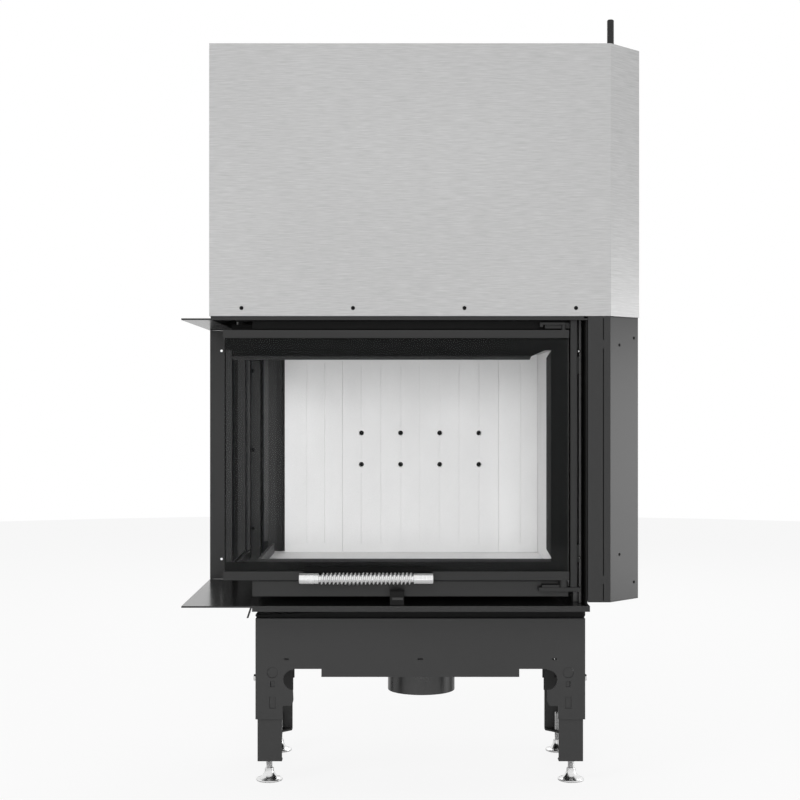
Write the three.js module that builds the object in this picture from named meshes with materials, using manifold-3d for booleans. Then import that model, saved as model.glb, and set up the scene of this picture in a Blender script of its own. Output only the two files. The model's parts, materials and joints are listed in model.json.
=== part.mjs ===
// Corner fireplace insert: steel firebox with a lifting L-shaped glass door, a brushed hood that
// the door rises into, a counterweight in the right-hand column and a base on adjustable legs.
//
// Millimetres, +Z up. The working axes are X = 0 on the middle of the firebox opening, Y = 0 on
// the front face of the hood (+Y runs to the back) and Z = 0 on the floor. At the end the group is
// shifted so that its origin is the middle of the footprint.

import * as THREE from "three";
import { mergeVertices } from "three/addons/utils/BufferGeometryUtils.js";
import Module from "manifold-3d";

const wasm = await Module();
wasm.setup();

// ---------------------------------------------------------------- driving dimensions

// Fits
const seatGap = 0.3; // between two pieces that touch
const boreGap = 0.3; // radial, pin or rod in its bore
const overcut = 1; // that a cutter runs past a face, or a tab into the piece it is welded to
const runGap = 4; // beside a piece that travels past

// Sheet and plate
const hoodSheet = 2;
const casingSheet = 2;
const framePlate = 3;
const shellWall = 4;
const liningThick = 29.7;

// Main frame, seen from above
const bodyDepth = 440;
const frameLeft = -420.6;
const hoodLeft = -372;
const hoodRight = 386.4;
const hoodChamfer = 58.5;
const bottomPlateRight = 291.3;

// Levels, each measured up from the one below
const legClearance = 37.7; // floor to lower legs
const lowerLegShow = 75.3; // lower leg seen below the upper one
const baseHeight = 179;
const airBoxHeight = 25.4;
const hoodSlit = 4; // dark line under the hood
const hoodHeight = 475.1;
const rodAboveHood = 55.6;

// Base frame
const baseCentreX = -3.5;
const baseWidth = 585.4;
const baseFront = 50;
const baseDepth = 272;
const baseFlange = 25;
const upperLegWidth = 47.9;
const apronDrop = 103.7; // top edge to the deep middle part
const apronLift = 14.2; // how much shallower the apron is beside the legs
const apronStepInset = 50.3; // from the notch to that step
const notchInset = 66.7; // from the outer corner
const notchRise = 70; // above the end of the upper leg
const notchRadius = 17.8;
const earRise = 36;
const earInset = 49.6;
const earFoot = 24;
const tabSlotWidth = 9;
const tabSlotHeight = 3;
const tabSlotDrop = 72;
const tabSlotInset = 54.6;
const clampHoleRadius = 9.75;
const clampHoleRise = 83;
const clampInset = 30;
const clampSlotWidth = 8;
const clampSlotHeight = 10.5;
const clampSlotRise = 62.75;
const windowWidth = 11;
const windowHeight = 20.4;
const windowRise = 29.6;

// Lower legs and feet
const legFlange = 43.5;
const legTravelUp = 40;
const legTravelDown = 50;
const legOverlap = 133; // length hidden in the upper leg
const legSlotWidth = 8.6;
const legBoltRise = 70;
const legToeCut = 27.5;
const footInset = 19.5;
const footRadius = 23.5;
const footDisc = 4;
const footConeTop = 22;
const footNeck = 5; // straight neck above the cone
const footNeckRadius = 8;
const stemRadius = 6;
const stemLength = 53;

// Air box, air inlet and air lever
const airBoxWidth = 588;
const airBoxFront = 60;
const airBoxWall = 2;
const airBoxCorner = 5;
const inletY = 180;
const inletRadius = 62;
const inletWall = 2;
const inletLength = 149.5;
const inletFlange = 13;
const inletFlangeThick = 3;
const leverX = -44.9;
const leverWidth = 25;
const leverHeight = 27.5;
const leverFront = 5;
const leverPlate = 3;
const leverShank = 10;
const gateWidth = 110;
const gateDepth = 80;
const airHoleWidth = 70;
const airHoleDepth = 50;

// Bottom plate
const lipLeft = -297.4;
const lipDrop = 7;
const tabFoot = 18;
const tabLean = 6.2;

// Top frame
const doorSlotLeft = 4.6; // from the hood's left face to the slot
const doorSlotFront = 5.5;
const doorSlotDepth = 44.5;
const sideSlotWidth = 37.4;
const upFlangeHeight = 33;
const hoodScrewRise = 13.9; // above the bottom edge of the hood
const hoodScrewX = -315.7;
const hoodScrewPitch = 194.2;
const hoodScrewCount = 4;
const hoodScrewRadius = 2.5;
const hoodReturn = 20;

// Left-rear column
const columnFront = 394;
const columnWidth = 101;
const columnOuterWidth = 44;
const columnGroove = 12;
const columnGrooveDepth = 10;
const columnHoleInset = 23;
const columnHoleRadius = 2.5;
const columnHoleLow = 40.1;
const columnHoleDrop = 40.7; // below the top frame

// Firebox shell, linings and baffle
const shellLeft = -300.6;
const shellRight = 264.9;
const shellFront = 44.6;
const shellBack = 364.5;
const shellLift = 25; // above the bottom plate
const shellHeight = 464;
const frameRoom = 9.3; // between the shell and the top frame
const smokeHoleWidth = 360;
const smokeHoleDepth = 200;
const liningLeft = -265.7;
const seamLeft = -152.5;
const seamRight = 153.3;
const floorLiningLeft = -290;
const floorLiningHeight = 30.4;
const liningSetback = 1.4; // behind the shell's front edge
const grooveWidth = 2.2;
const grooveDepth = 1.6;
const grooveFoot = 18;
const grooveHead = 17; // below the lining's top
const grooveBreak = 13;
const groovePitch = 38.3;
const sideGrooveX = [-222.5, -186.8];
const rightGrooveX = 196.5;
const airHoleRadius = 5;
const airHoleSink = 1.5;
const airHoleX = [38.5, 115.4];
const airHoleLow = 172.4; // above the lining's foot
const airHoleRows = 61.8;
const baffleThick = 25;
const baffleRoom = 11.7; // above the baffle, under the shell's ceiling
const baffleFront = 120;
const clipStripWidth = 12.4;
const clipStripThick = 6.2;
const clipRise = [279, 317];
const clipHeight = 4;

// Opening frame and log retainer
const openingFront = 41.3;
const openingLeft = -337;
const lintelRise = 2; // above the shell
const openingRight = 218.6;
const jambRight = 257;
const mitreWidth = 9;
const mitreHeight = 16;
const lintelHeight = 54.5;
const lintelFlange = 20;
const retainerFront = 36;
const retainerThick = 5;
const retainerTop = 78.5;
const retainerLeft = -290.7;

// Front panels
const panelFront = 30;
const lowerPanelLift = 12.8;
const lowerPanelHeight = 27.2;
const panelLeft = -299.8;
const upperPanelHeight = 14;
const upperPanelFlange = 30;

// Smoke dome and flue collar
const domeWidth = 400;
const domeDepth = 240;
const domeCentreY = 230;
const domeHeight = 340;
const domeWall = 3;
const flueRadius = 100;
const flueWall = 2.5;
const flueLength = 145;

// Right column: casing, post, rail and counterweight
const casingLeft = 288;
const casingLift = 4;
const casingInset = 2; // inside the hood's outline
const casingReturn = 18;
const doorSlotGap = 7; // between the door slot and the casing
const bendLineX = 314.2;
const bendSlotWidth = 1.7;
// Foot and length of each slot, as shares of the casing's height
const bendSlots = [[0.006, 0.167], [0.1903, 0.3271], [0.5418, 0.3517], [0.9179, 0.0767]];
const chamferHoleRadius = 1.75;
// Place along the chamfer, and height as a share of the casing's
const chamferHoles = [[17.7, 0.1678], [17.7, 0.9017], [47.9, 0.0639], [47.9, 0.9287]];
const postFront = 5;
const postReturnY = 60;
const railFlangeLeft = 276;
const railFlangeThick = 4;
const railFront = 34;
const railWebLeft = 268;
const railWebRight = 283;
const railDrop = 45; // of the rail's top, below the pulley's axle
const railHeadroom = 6; // between the left rail and the hood's rim
const rodX = 335.4;
const rodY = 60;
const rodRadius = 6;
const rodFootDepth = 30;
const weightLeft = 300;
const weightFront = 32;
const weightWidth = 52;
const weightDepth = 74;
const weightHeight = 350;
const weightLift = 27.7; // above the top frame
const weightRoom = 3; // beside the counterweight
const pulleyDrop = 51.4; // below the hood's top
const pulleyRadius = 33; // to the middle of the cable
const pulleyRim = 4;
const pulleyWidth = 8;
const rimWidth = 1.2;
const bracketDrop = 80; // below the rail's top
const bracketReach = 25; // right of the pulley's axle
const bracketTab = 20; // left of the pulley's axle
const axleRadius = 5;
const cableRadius = 1.5;
const cableX = 264; // door side
const cableY = 38;
const anchorThick = 6;
const anchorDrop = 33.3; // of the anchor's underside below the top frame

// Left guide rail
const leftRailX = -311.6;
const leftRailWidth = 10;
const leftRailFront = 380;
const leftRailDepth = 12;
const leftRailLift = 77;

// Door leaf
const leafLeft = -348.8;
const leafRight = 256;
const leafFront = 8;
const leafBack = 386;
const leafLift = 44; // above the bottom plate
const leafRoom = 17; // between the leaf and the top frame
const barDepth = 18;
const sideBarDepth = 10.8;
const topBarHeight = 14;
const bottomBarHeight = 15.4;
const glassThick = 4;
const glassLip = 2.2;
const sideGlassLip = 1.7;
const glassEdge = 2;
const stileWidth = 24;
const stileDepth = 13.2;
const rearStileDepth = 14;
const hingeX = 246.9;
const hingeY = 14;
const hingePinRadius = 4;
const hingeShoulderRadius = 7;

// Carriage that carries the leaf
const uprightLeft = 258.5;
const uprightWidth = 11;
const uprightFront = 10;
const uprightDepth = 24;
const uprightSheet = 2;
const armLeft = 202.9;
const armRight = 276.9;
const armHeight = 7;
const armDrop = 12.8; // below the leaf
const armDepth = 20;
const armBlockLeft = 208.7;
const armBlockWidth = 30.7;
const armBlockHeight = 4.3;
const armBlockSetback = 2;
const bracketLeft = 205;
const bracketHeight = 11.5;
const bracketRise = 1.7; // above the leaf
const shoeHeight = 30;
const shoeDepth = 6;
const beamLift = 7.7; // above the top frame
const beamHeight = 30;
const beamThick = 4;
const beamSideGap = 1.2; // outside the leaf
const runnerLip = 2.7;

// Handle
const handleX = -213.8;
const handleLength = 231.8;
const handleY = -25;
const handleRise = 6.3; // above the leaf's lower edge
const handleRadius = 9.3;
const handleChamfer = 1;
const coilStart = 34.5; // from the left end of the handle
const coilLength = 163;
const coilTurns = 23;
const coilRadius = 8.7; // to the middle of the wire
const wireRadius = 2.2;
const postInset = 14.5;
const postRadius = 5;
const gripPlateLeft = 6.1;
const gripPlateRight = 2;
const gripPlateThick = 3;
const gripPlateRise = 1;
const gripPlateHeight = 21.7;

// ---------------------------------------------------------------- levels and places

const baseTop = legClearance + lowerLegShow + baseHeight;
const baseFoot = legClearance + lowerLegShow;
const airBoxFoot = baseTop + seatGap;
const plateFoot = airBoxFoot + airBoxHeight + seatGap;
const plateTop = plateFoot + framePlate;
const shellFoot = plateTop + shellLift;
const shellTop = shellFoot + shellHeight;
const frameFoot = shellTop + frameRoom;
const frameTop = frameFoot + framePlate;
const hoodFoot = frameTop + hoodSlit;
const hoodTop = hoodFoot + hoodHeight;
const insideBack = bodyDepth - hoodSheet - seatGap;
const baseLeft = baseCentreX - baseWidth / 2;
const baseRight = baseCentreX + baseWidth / 2;
const baseBack = baseFront + baseDepth;
const frontCorner = hoodRight - hoodChamfer;
const slotLeft = hoodLeft + doorSlotLeft;
const slotBack = doorSlotFront + doorSlotDepth;
const slotRight = casingLeft - doorSlotGap;
const floorFoot = shellFoot + shellWall + seatGap;
const floorTop = floorFoot + floorLiningHeight;
const liningFoot = floorTop + seatGap;
const baffleTop = shellTop - shellWall - baffleRoom;
const baffleFoot = baffleTop - baffleThick;
const liningTop = baffleFoot - seatGap;
const liningBack = shellBack - shellWall - seatGap;
const liningFace = liningBack - liningThick - boreGap;
const liningRight = shellRight - shellWall - seatGap;
const liningRightFace = liningRight - liningThick - boreGap;
const liningFront = shellFront + liningSetback;
const leafFoot = plateTop + leafLift;
const leafTop = frameFoot - leafRoom;
const bottomBarTop = leafFoot + bottomBarHeight;
const topBarFoot = leafTop - topBarHeight;
const frontGlassFront = leafFront + glassLip + seatGap;
const frontGlassBack = frontGlassFront + glassThick;
const sideGlassLeft = leafLeft + sideGlassLip + seatGap;
const sideGlassRight = sideGlassLeft + glassThick;
const uprightRight = uprightLeft + uprightWidth;
const armTop = leafFoot - armDrop;
const beamFoot = frameTop + beamLift;
const beamTop = beamFoot + beamHeight;
const weightFoot = frameTop + weightLift;
const weightTop = weightFoot + weightHeight;
const pulleyZ = hoodTop - pulleyDrop;
const railTop = pulleyZ - railDrop;
const railWebBack = postReturnY - framePlate - seatGap;
const pulleyX = cableX + pulleyRadius;

// ---------------------------------------------------------------- finishes

function finish(color, roughness, metalness) {
  return new THREE.MeshStandardMaterial({ color, roughness, metalness });
}

const finishes = {
  blackSteel: finish(0x2b2c2e, 0.6, 0.4),
  darkSteel: finish(0x3c3d3f, 0.55, 0.5),
  brushedHood: finish(0xc4c5c6, 0.4, 0.9),
  stainless: finish(0xd2d2d0, 0.25, 1),
  zinc: finish(0xb9bbbd, 0.35, 0.9),
  ceramic: finish(0xe2e0dc, 0.95, 0),
  iron: finish(0x1f2022, 0.7, 0.5),
  glass: new THREE.MeshStandardMaterial({
    color: 0xdfe6e6, roughness: 0.05, metalness: 0, transparent: true, opacity: 0.3,
  }),
};

// ---------------------------------------------------------------- shape helpers

// Turns the sketch plane and its normal onto the axis that a profile is pushed along: a sketch
// for X is drawn in (Y, Z), one for Y in (X, Z) and one for Z in (X, Y).
const sketchBases = {
  x: new THREE.Matrix4().makeBasis(
    new THREE.Vector3(0, 1, 0), new THREE.Vector3(0, 0, 1), new THREE.Vector3(1, 0, 0)),
  y: new THREE.Matrix4().makeBasis(
    new THREE.Vector3(1, 0, 0), new THREE.Vector3(0, 0, 1), new THREE.Vector3(0, -1, 0)),
  z: new THREE.Matrix4(),
};

function toVectors(points) {
  return points.map((point) => new THREE.Vector2(point[0] ?? point.x, point[1] ?? point.y));
}

// Drops repeated points and those that lie on a straight stretch of a closed outline.
function corners(outline) {
  const apart = toVectors(outline).filter(
    (point, i, all) => point.distanceTo(all[(i + 1) % all.length]) > 1e-3);
  return apart.filter((point, i, all) => {
    const into = point.clone().sub(all[(i + all.length - 1) % all.length]).normalize();
    const out = all[(i + 1) % all.length].clone().sub(point).normalize();
    return Math.abs(into.cross(out)) > 1e-6;
  });
}

// Pushes a closed outline along an axis from one place to another, with holes right through it.
function push(axis, outline, from, to, holes = []) {
  const shape = new THREE.Shape(corners(outline));
  const geometry = new THREE.ExtrudeGeometry(shape, { depth: to - from, bevelEnabled: false });
  geometry.applyMatrix4(sketchBases[axis]);
  const start = { x: [from, 0, 0], y: [0, to, 0], z: [0, 0, from] }[axis];
  geometry.translate(...start);
  const drills = holes.map((hole) => push(axis, hole, from - overcut, to + overcut));
  return holes.length > 0 ? cut(geometry, ...drills) : geometry;
}

function box(x, y, z) {
  const geometry = new THREE.BoxGeometry(x[1] - x[0], y[1] - y[0], z[1] - z[0]);
  return geometry.translate((x[0] + x[1]) / 2, (y[0] + y[1]) / 2, (z[0] + z[1]) / 2);
}

function rectangle(u, v) {
  return [[u[0], v[0]], [u[1], v[0]], [u[1], v[1]], [u[0], v[1]]];
}

function circle(u, v, radius, sides = 20) {
  return Array.from({ length: sides }, (_, i) => {
    const angle = (i / sides) * 2 * Math.PI;
    return [u + radius * Math.cos(angle), v + radius * Math.sin(angle)];
  });
}

// Closed outline of a sheet folded along a path, its thickness laid to the left of the path.
function folded(path, thickness) {
  const points = path.map(([x, y]) => new THREE.Vector2(x, y));
  const normals = points.slice(1).map((point, i) => {
    const run = point.clone().sub(points[i]).normalize();
    return new THREE.Vector2(-run.y, run.x);
  });
  const inner = points.map((point, i) => {
    const before = normals[Math.max(i - 1, 0)];
    const after = normals[Math.min(i, normals.length - 1)];
    const mitre = before.clone().add(after).divideScalar(1 + before.dot(after));
    return point.clone().addScaledVector(mitre, thickness);
  });
  return [...points, ...inner.reverse()];
}

// Solid of revolution from a closed [radius, height] outline round a vertical axis.
function revolve(outline, sides = 32) {
  const profile = toVectors([...outline, outline[0]]);
  return new THREE.LatheGeometry(profile, sides).rotateX(Math.PI / 2);
}

function toSolid(geometry) {
  const bare = geometry.clone();
  bare.deleteAttribute("normal");
  bare.deleteAttribute("uv");
  const merged = mergeVertices(bare.index ? bare.toNonIndexed() : bare, 1e-4);
  return new wasm.Manifold(new wasm.Mesh({
    numProp: 3,
    vertProperties: merged.attributes.position.array,
    triVerts: new Uint32Array(merged.index.array),
  }));
}

function toGeometry(solid) {
  const mesh = solid.getMesh();
  const geometry = new THREE.BufferGeometry();
  geometry.setAttribute("position", new THREE.BufferAttribute(mesh.vertProperties, 3));
  geometry.setIndex(new THREE.BufferAttribute(mesh.triVerts, 1));
  geometry.computeVertexNormals();
  return geometry;
}

const faceTolerance = 1e-3; // faces this close to one plane are merged after a join or a cut

function join(...parts) {
  const whole = parts.map(toSolid).reduce((sum, part) => sum.add(part));
  return toGeometry(whole.asOriginal().simplify(faceTolerance));
}

function cut(body, ...tools) {
  const cutter = tools.map(toSolid).reduce((sum, tool) => sum.add(tool));
  return toGeometry(toSolid(body).subtract(cutter).asOriginal().simplify(faceTolerance));
}

const insert = new THREE.Group();

function place(name, geometry, material, parent = insert) {
  const mesh = new THREE.Mesh(geometry, material);
  mesh.name = name;
  parent.add(mesh);
  return mesh;
}

// ---------------------------------------------------------------- base frame

// Half of an apron with its leg, from the middle outwards, with the clamp notch and ear.
function apronHalf(halfWidth) {
  const legInside = halfWidth - upperLegWidth;
  const notchX = halfWidth - notchInset;
  const notchZ = baseFoot + notchRise;
  const earX = halfWidth - earInset;
  const earZ = baseFoot + earRise;
  const earEnd = Math.asin((earRise - earFoot) / notchRadius);
  const half = new THREE.Path();
  half.moveTo(0, baseTop - apronDrop);
  half.lineTo(notchX - apronStepInset, baseTop - apronDrop);
  half.lineTo(notchX - apronStepInset, baseTop - apronDrop + apronLift);
  half.lineTo(notchX, baseTop - apronDrop + apronLift);
  half.absarc(notchX, notchZ, notchRadius, Math.PI / 2, -Math.PI / 2, true);
  half.absarc(earX, earZ, notchRadius, Math.PI, Math.PI + earEnd, false);
  half.lineTo(legInside, baseFoot + earFoot);
  half.lineTo(legInside, baseFoot);
  half.lineTo(halfWidth, baseFoot);
  half.lineTo(halfWidth, baseTop);
  return half.getPoints(5).map((point) => [point.x, point.y]);
}

function legOpenings(halfWidth, side) {
  const x = side * (halfWidth - clampInset);
  const slot = (width, height, rise) => rectangle(
    [x - width / 2, x + width / 2],
    [baseFoot + rise - height / 2, baseFoot + rise + height / 2]);
  return [
    circle(x, baseFoot + clampHoleRise, clampHoleRadius, 24),
    slot(clampSlotWidth, clampSlotHeight, clampSlotRise),
    slot(windowWidth, windowHeight, windowRise),
  ];
}

// A panel of the base: sheet with a flange along the top that carries the air box. Drawn about
// its own middle, its outer face on Y = 0 and its inside towards +Y.
function basePanel(halfWidth, flangeHalf) {
  const half = apronHalf(halfWidth);
  const mirrored = half.map(([x, z]) => [-x, z]).reverse();
  const outline = [...half, ...mirrored];
  const tabs = [-1, 0, 1].map((side) => rectangle(
    [side * (halfWidth - tabSlotInset) - tabSlotWidth / 2,
      side * (halfWidth - tabSlotInset) + tabSlotWidth / 2],
    [baseTop - tabSlotDrop - tabSlotHeight / 2, baseTop - tabSlotDrop + tabSlotHeight / 2]));
  const openings = [...legOpenings(halfWidth, -1), ...legOpenings(halfWidth, 1), ...tabs];
  const sheet = push("y", outline, 0, framePlate, openings);
  const flange = box([-flangeHalf, flangeHalf], [framePlate / 2, baseFlange],
    [baseTop - framePlate, baseTop]);
  return join(sheet, flange);
}

const legAcross = baseWidth / 2 - framePlate - seatGap;
const legDeep = baseDepth / 2 - framePlate - seatGap;
const baseCentreY = (baseFront + baseBack) / 2;

function buildBase() {
  const frontFlange = legAcross - baseFlange;
  const front = basePanel(baseWidth / 2, frontFlange);
  const railHalf = legDeep;
  const rail = basePanel(railHalf, railHalf);
  const places = [
    ["base_front_panel", front, 0, [baseCentreX, baseFront]],
    ["base_rear_panel", front, Math.PI, [baseCentreX, baseBack]],
    ["base_left_rail", rail, -Math.PI / 2, [baseLeft, baseCentreY]],
    ["base_right_rail", rail, Math.PI / 2, [baseRight, baseCentreY]],
  ];
  for (const [name, geometry, turn, [x, y]] of places) {
    const mesh = place(name, geometry, finishes.darkSteel);
    mesh.rotation.z = turn;
    mesh.position.set(x, y, 0);
  }
}

// Lower leg in its own corner: flanges along +X and +Y from the outer corner at the origin.
function lowerLeg() {
  const top = baseFoot + legOverlap;
  const angle = push("z", folded([[legFlange, 0], [0, 0], [0, legFlange]].reverse(), framePlate),
    legClearance, top);
  const slotLow = baseFoot + legBoltRise - legTravelUp - legSlotWidth / 2;
  const slotHigh = baseFoot + legBoltRise + legTravelDown + legSlotWidth / 2;
  const slotSpan = [footInset - legSlotWidth / 2, footInset + legSlotWidth / 2];
  const slots = [
    box(slotSpan, [-framePlate, 2 * framePlate], [slotLow, slotHigh]),
    box([-framePlate, 2 * framePlate], slotSpan, [slotLow, slotHigh]),
  ];
  const toe = push("z", [[0, 0], [legFlange, 0], [legFlange, legFlange - legToeCut],
    [legFlange - legToeCut, legFlange], [0, legFlange]], legClearance, legClearance + framePlate,
  [circle(footInset, footInset, stemRadius + boreGap, 16)]);
  return join(cut(angle, ...slots), toe);
}

// Levelling foot about its own stem: disc, cone, neck and threaded stem.
function levellingFoot() {
  return revolve([[0, 0], [footRadius, 0], [footRadius, footDisc], [footNeckRadius, footConeTop - footNeck],
    [footNeckRadius, footConeTop], [stemRadius, footConeTop], [stemRadius, footConeTop + stemLength],
    [0, footConeTop + stemLength]], 24);
}

function buildLegs() {
  const leg = lowerLeg();
  const foot = levellingFoot();
  const corners = [
    ["front_left", 0, -1, -1], ["front_right", Math.PI / 2, 1, -1],
    ["rear_right", Math.PI, 1, 1], ["rear_left", -Math.PI / 2, -1, 1],
  ];
  for (const [corner, turn, sideX, sideY] of corners) {
    const group = new THREE.Group();
    group.position.set(baseCentreX + sideX * legAcross, baseCentreY + sideY * legDeep, 0);
    group.rotation.z = turn;
    insert.add(group);
    place(`lower_leg_${corner}`, leg, finishes.darkSteel, group);
    const footMesh = place(`foot_${corner}`, foot, finishes.zinc, group);
    footMesh.position.set(footInset, footInset, 0);
  }
}

// ---------------------------------------------------------------- air box and air control

function buildAirSupply() {
  const left = baseCentreX - airBoxWidth / 2;
  const right = baseCentreX + airBoxWidth / 2;
  const top = airBoxFoot + airBoxHeight;
  const section = new THREE.Path();
  section.moveTo(left, top);
  section.absarc(left + airBoxCorner, airBoxFoot + airBoxCorner, airBoxCorner, Math.PI, 1.5 * Math.PI);
  section.absarc(right - airBoxCorner, airBoxFoot + airBoxCorner, airBoxCorner, 1.5 * Math.PI, 0);
  section.lineTo(right, top);
  const tray = push("y", section.getPoints(3), airBoxFront, insideBack);
  const hollow = box([left + airBoxWall, right - airBoxWall],
    [airBoxFront + airBoxWall, insideBack - airBoxWall], [airBoxFoot + airBoxWall, top + airBoxWall]);
  const bore = push("z", circle(0, inletY, inletRadius - inletWall, 32),
    airBoxFoot - airBoxWall, airBoxFoot + 2 * airBoxWall);
  place("air_box", cut(tray, hollow, bore), finishes.blackSteel);

  const inletTop = baseTop;
  const inlet = revolve([
    [inletRadius - inletWall, inletTop - inletLength], [inletRadius, inletTop - inletLength],
    [inletRadius, inletTop - inletFlangeThick], [inletRadius + inletFlange, inletTop - inletFlangeThick],
    [inletRadius + inletFlange, inletTop], [inletRadius - inletWall, inletTop],
  ], 32);
  place("air_inlet_spigot", inlet, finishes.darkSteel).position.set(0, inletY, 0);

  const knobFoot = plateTop + seatGap;
  const shankTop = knobFoot + lowerPanelLift - 2 * framePlate;
  const lever = join(
    box([leverX - leverWidth / 2, leverX + leverWidth / 2], [leverFront, leverFront + leverPlate],
      [knobFoot, knobFoot + leverHeight]),
    box([leverX - leverShank / 2, leverX + leverShank / 2],
      [leverFront + leverPlate / 2, inletY - gateDepth / 2 + overcut], [knobFoot, shankTop]),
    box([leverX - gateWidth / 2, leverX + gateWidth / 2],
      [inletY - gateDepth / 2, inletY + gateDepth / 2], [knobFoot, knobFoot + framePlate]),
  );
  place("air_lever", lever, finishes.blackSteel);
}

// ---------------------------------------------------------------- frame plates and column

function buildBottomPlate() {
  const tabRight = lipLeft - seatGap;
  const tabLeft = tabRight - framePlate;
  const plate = join(
    push("z", rectangle([frameLeft, bottomPlateRight], [0, bodyDepth]), plateFoot, plateTop,
      [rectangle([-airHoleWidth / 2, airHoleWidth / 2],
        [inletY - airHoleDepth / 2, inletY + airHoleDepth / 2])]),
    box([lipLeft, bottomPlateRight], [0, framePlate], [plateFoot - lipDrop, plateFoot + overcut]),
    push("y", [[tabLeft, plateFoot + overcut], [tabLeft - tabLean, plateFoot - tabFoot],
      [tabRight - tabLean, plateFoot - tabFoot], [tabRight, plateFoot + overcut]],
    seatGap, 3 * framePlate),
  );
  place("bottom_plate", plate, finishes.blackSteel);
}

function hoodScrewHoles(y, z) {
  return Array.from({ length: hoodScrewCount }, (_, i) => push("y",
    circle(hoodScrewX + i * hoodScrewPitch, z, hoodScrewRadius, 12), y[0], y[1]));
}

// The hood's corner line seen from above, moved inwards by an inset.
function hoodOutline(inset, back) {
  const shift = inset * Math.tan(Math.PI / 8);
  return [
    [hoodLeft + inset, back], [hoodLeft + inset, inset], [frontCorner - shift, inset],
    [hoodRight - inset, hoodChamfer + shift], [hoodRight - inset, back],
  ];
}

const topFrameInset = casingInset + casingSheet + seatGap;

function buildTopFrame() {
  const corner = hoodOutline(topFrameInset, insideBack).slice(2);
  const returnBack = casingInset + casingReturn + seatGap;
  const returnRight = casingLeft + casingSheet + seatGap;
  const outline = [[frameLeft, 0], [casingLeft - seatGap, 0], [casingLeft - seatGap, returnBack],
    [returnRight, returnBack], [returnRight, topFrameInset], ...corner, [frameLeft, insideBack]];
  const slots = [
    box([slotLeft, slotRight], [doorSlotFront, slotBack], [frameFoot - overcut, frameTop + overcut]),
    box([slotLeft, slotLeft + sideSlotWidth], [doorSlotFront, columnFront - overcut],
      [frameFoot - overcut, frameTop + overcut]),
    box([leftRailX - seatGap, leftRailX + leftRailWidth + seatGap], [leftRailFront - seatGap,
      leftRailFront + leftRailDepth + seatGap], [frameFoot - overcut, frameTop + overcut]),
    box([-domeWidth / 2 - seatGap, domeWidth / 2 + seatGap],
      [domeCentreY - domeDepth / 2 - seatGap, domeCentreY + domeDepth / 2 + seatGap],
      [frameFoot - overcut, frameTop + overcut]),
    box([weightLeft - runGap, weightLeft + weightWidth + runGap],
      [weightFront - runGap, weightFront + weightDepth + runGap],
      [frameFoot - overcut, frameTop + overcut]),
    box([railWebLeft - boreGap, railWebRight + boreGap], [railFront - boreGap, railWebBack + boreGap],
      [frameFoot - overcut, frameTop + overcut]),
  ];
  const flangeFront = hoodSheet + seatGap;
  const upFlange = cut(
    box([slotLeft, slotRight], [flangeFront, flangeFront + hoodSheet],
      [frameTop - overcut, frameTop + upFlangeHeight]),
    ...hoodScrewHoles([0, 4 * hoodSheet], hoodFoot + hoodScrewRise));
  const leftFlange = box([hoodLeft + flangeFront, hoodLeft + flangeFront + hoodSheet],
    [flangeFront, columnFront], [frameTop - overcut, frameTop + upFlangeHeight]);
  place("top_frame", join(cut(push("z", outline, frameFoot, frameTop), ...slots), upFlange, leftFlange),
    finishes.blackSteel);
}

function buildColumn() {
  const right = frameLeft + columnWidth;
  const grooveLeft = frameLeft + columnOuterWidth;
  const section = folded([
    [right, insideBack], [right, columnFront], [grooveLeft + columnGroove, columnFront],
    [grooveLeft + columnGroove, columnFront + columnGrooveDepth],
    [grooveLeft, columnFront + columnGrooveDepth], [grooveLeft, columnFront],
    [frameLeft, columnFront], [frameLeft, insideBack],
  ].reverse(), hoodSheet);
  const holes = [plateTop + columnHoleLow, frameFoot - columnHoleDrop].map((level) => push("y",
    circle(frameLeft + columnHoleInset, level, columnHoleRadius, 12),
    columnFront - overcut, columnFront + 2 * hoodSheet));
  const post = push("z", section, plateTop + seatGap, frameFoot - seatGap);
  place("left_rear_column", cut(post, ...holes), finishes.darkSteel);
}

// ---------------------------------------------------------------- firebox

function buildShell() {
  const smokeHole = box([-smokeHoleWidth / 2, smokeHoleWidth / 2],
    [domeCentreY - smokeHoleDepth / 2, domeCentreY + smokeHoleDepth / 2],
    [shellTop - 2 * shellWall, shellTop + shellWall]);
  const room = box([shellLeft - shellWall, shellRight - shellWall],
    [shellFront - shellWall, shellBack - shellWall], [shellFoot + shellWall, shellTop - shellWall]);
  const block = box([shellLeft, shellRight], [shellFront, shellBack], [shellFoot, shellTop]);
  place("firebox_shell", cut(block, room, smokeHole), finishes.blackSteel);
}

// A vertical groove in the back lining, as one or more cutters, broken round the air holes.
function groove(x, broken) {
  const foot = liningFoot + grooveFoot;
  const ends = [foot, liningTop - grooveHead];
  const breaks = broken ? [liningFoot + airHoleLow, liningFoot + airHoleLow + airHoleRows] : [];
  const stops = [ends[0], ...breaks.flatMap((z) => [z - grooveBreak, z + grooveBreak]), ends[1]];
  const cutters = [];
  for (let i = 0; i < stops.length; i += 2) {
    cutters.push(box([x - grooveWidth / 2, x + grooveWidth / 2],
      [liningFace - overcut, liningFace + grooveDepth], [stops[i], stops[i + 1]]));
  }
  return cutters;
}

function airHoles() {
  const rows = [airHoleLow, airHoleLow + airHoleRows].map((rise) => liningFoot + rise);
  const across = airHoleX.flatMap((x) => [-x, x]);
  return rows.flatMap((z) => across.flatMap((x) => [
    push("y", circle(x, z, airHoleRadius, 12), liningFace - overcut, liningBack + overcut),
    push("y", circle(x, z, airHoleRadius + airHoleSink, 12), liningFace - overcut,
      liningFace + airHoleSink),
  ]));
}

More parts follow.
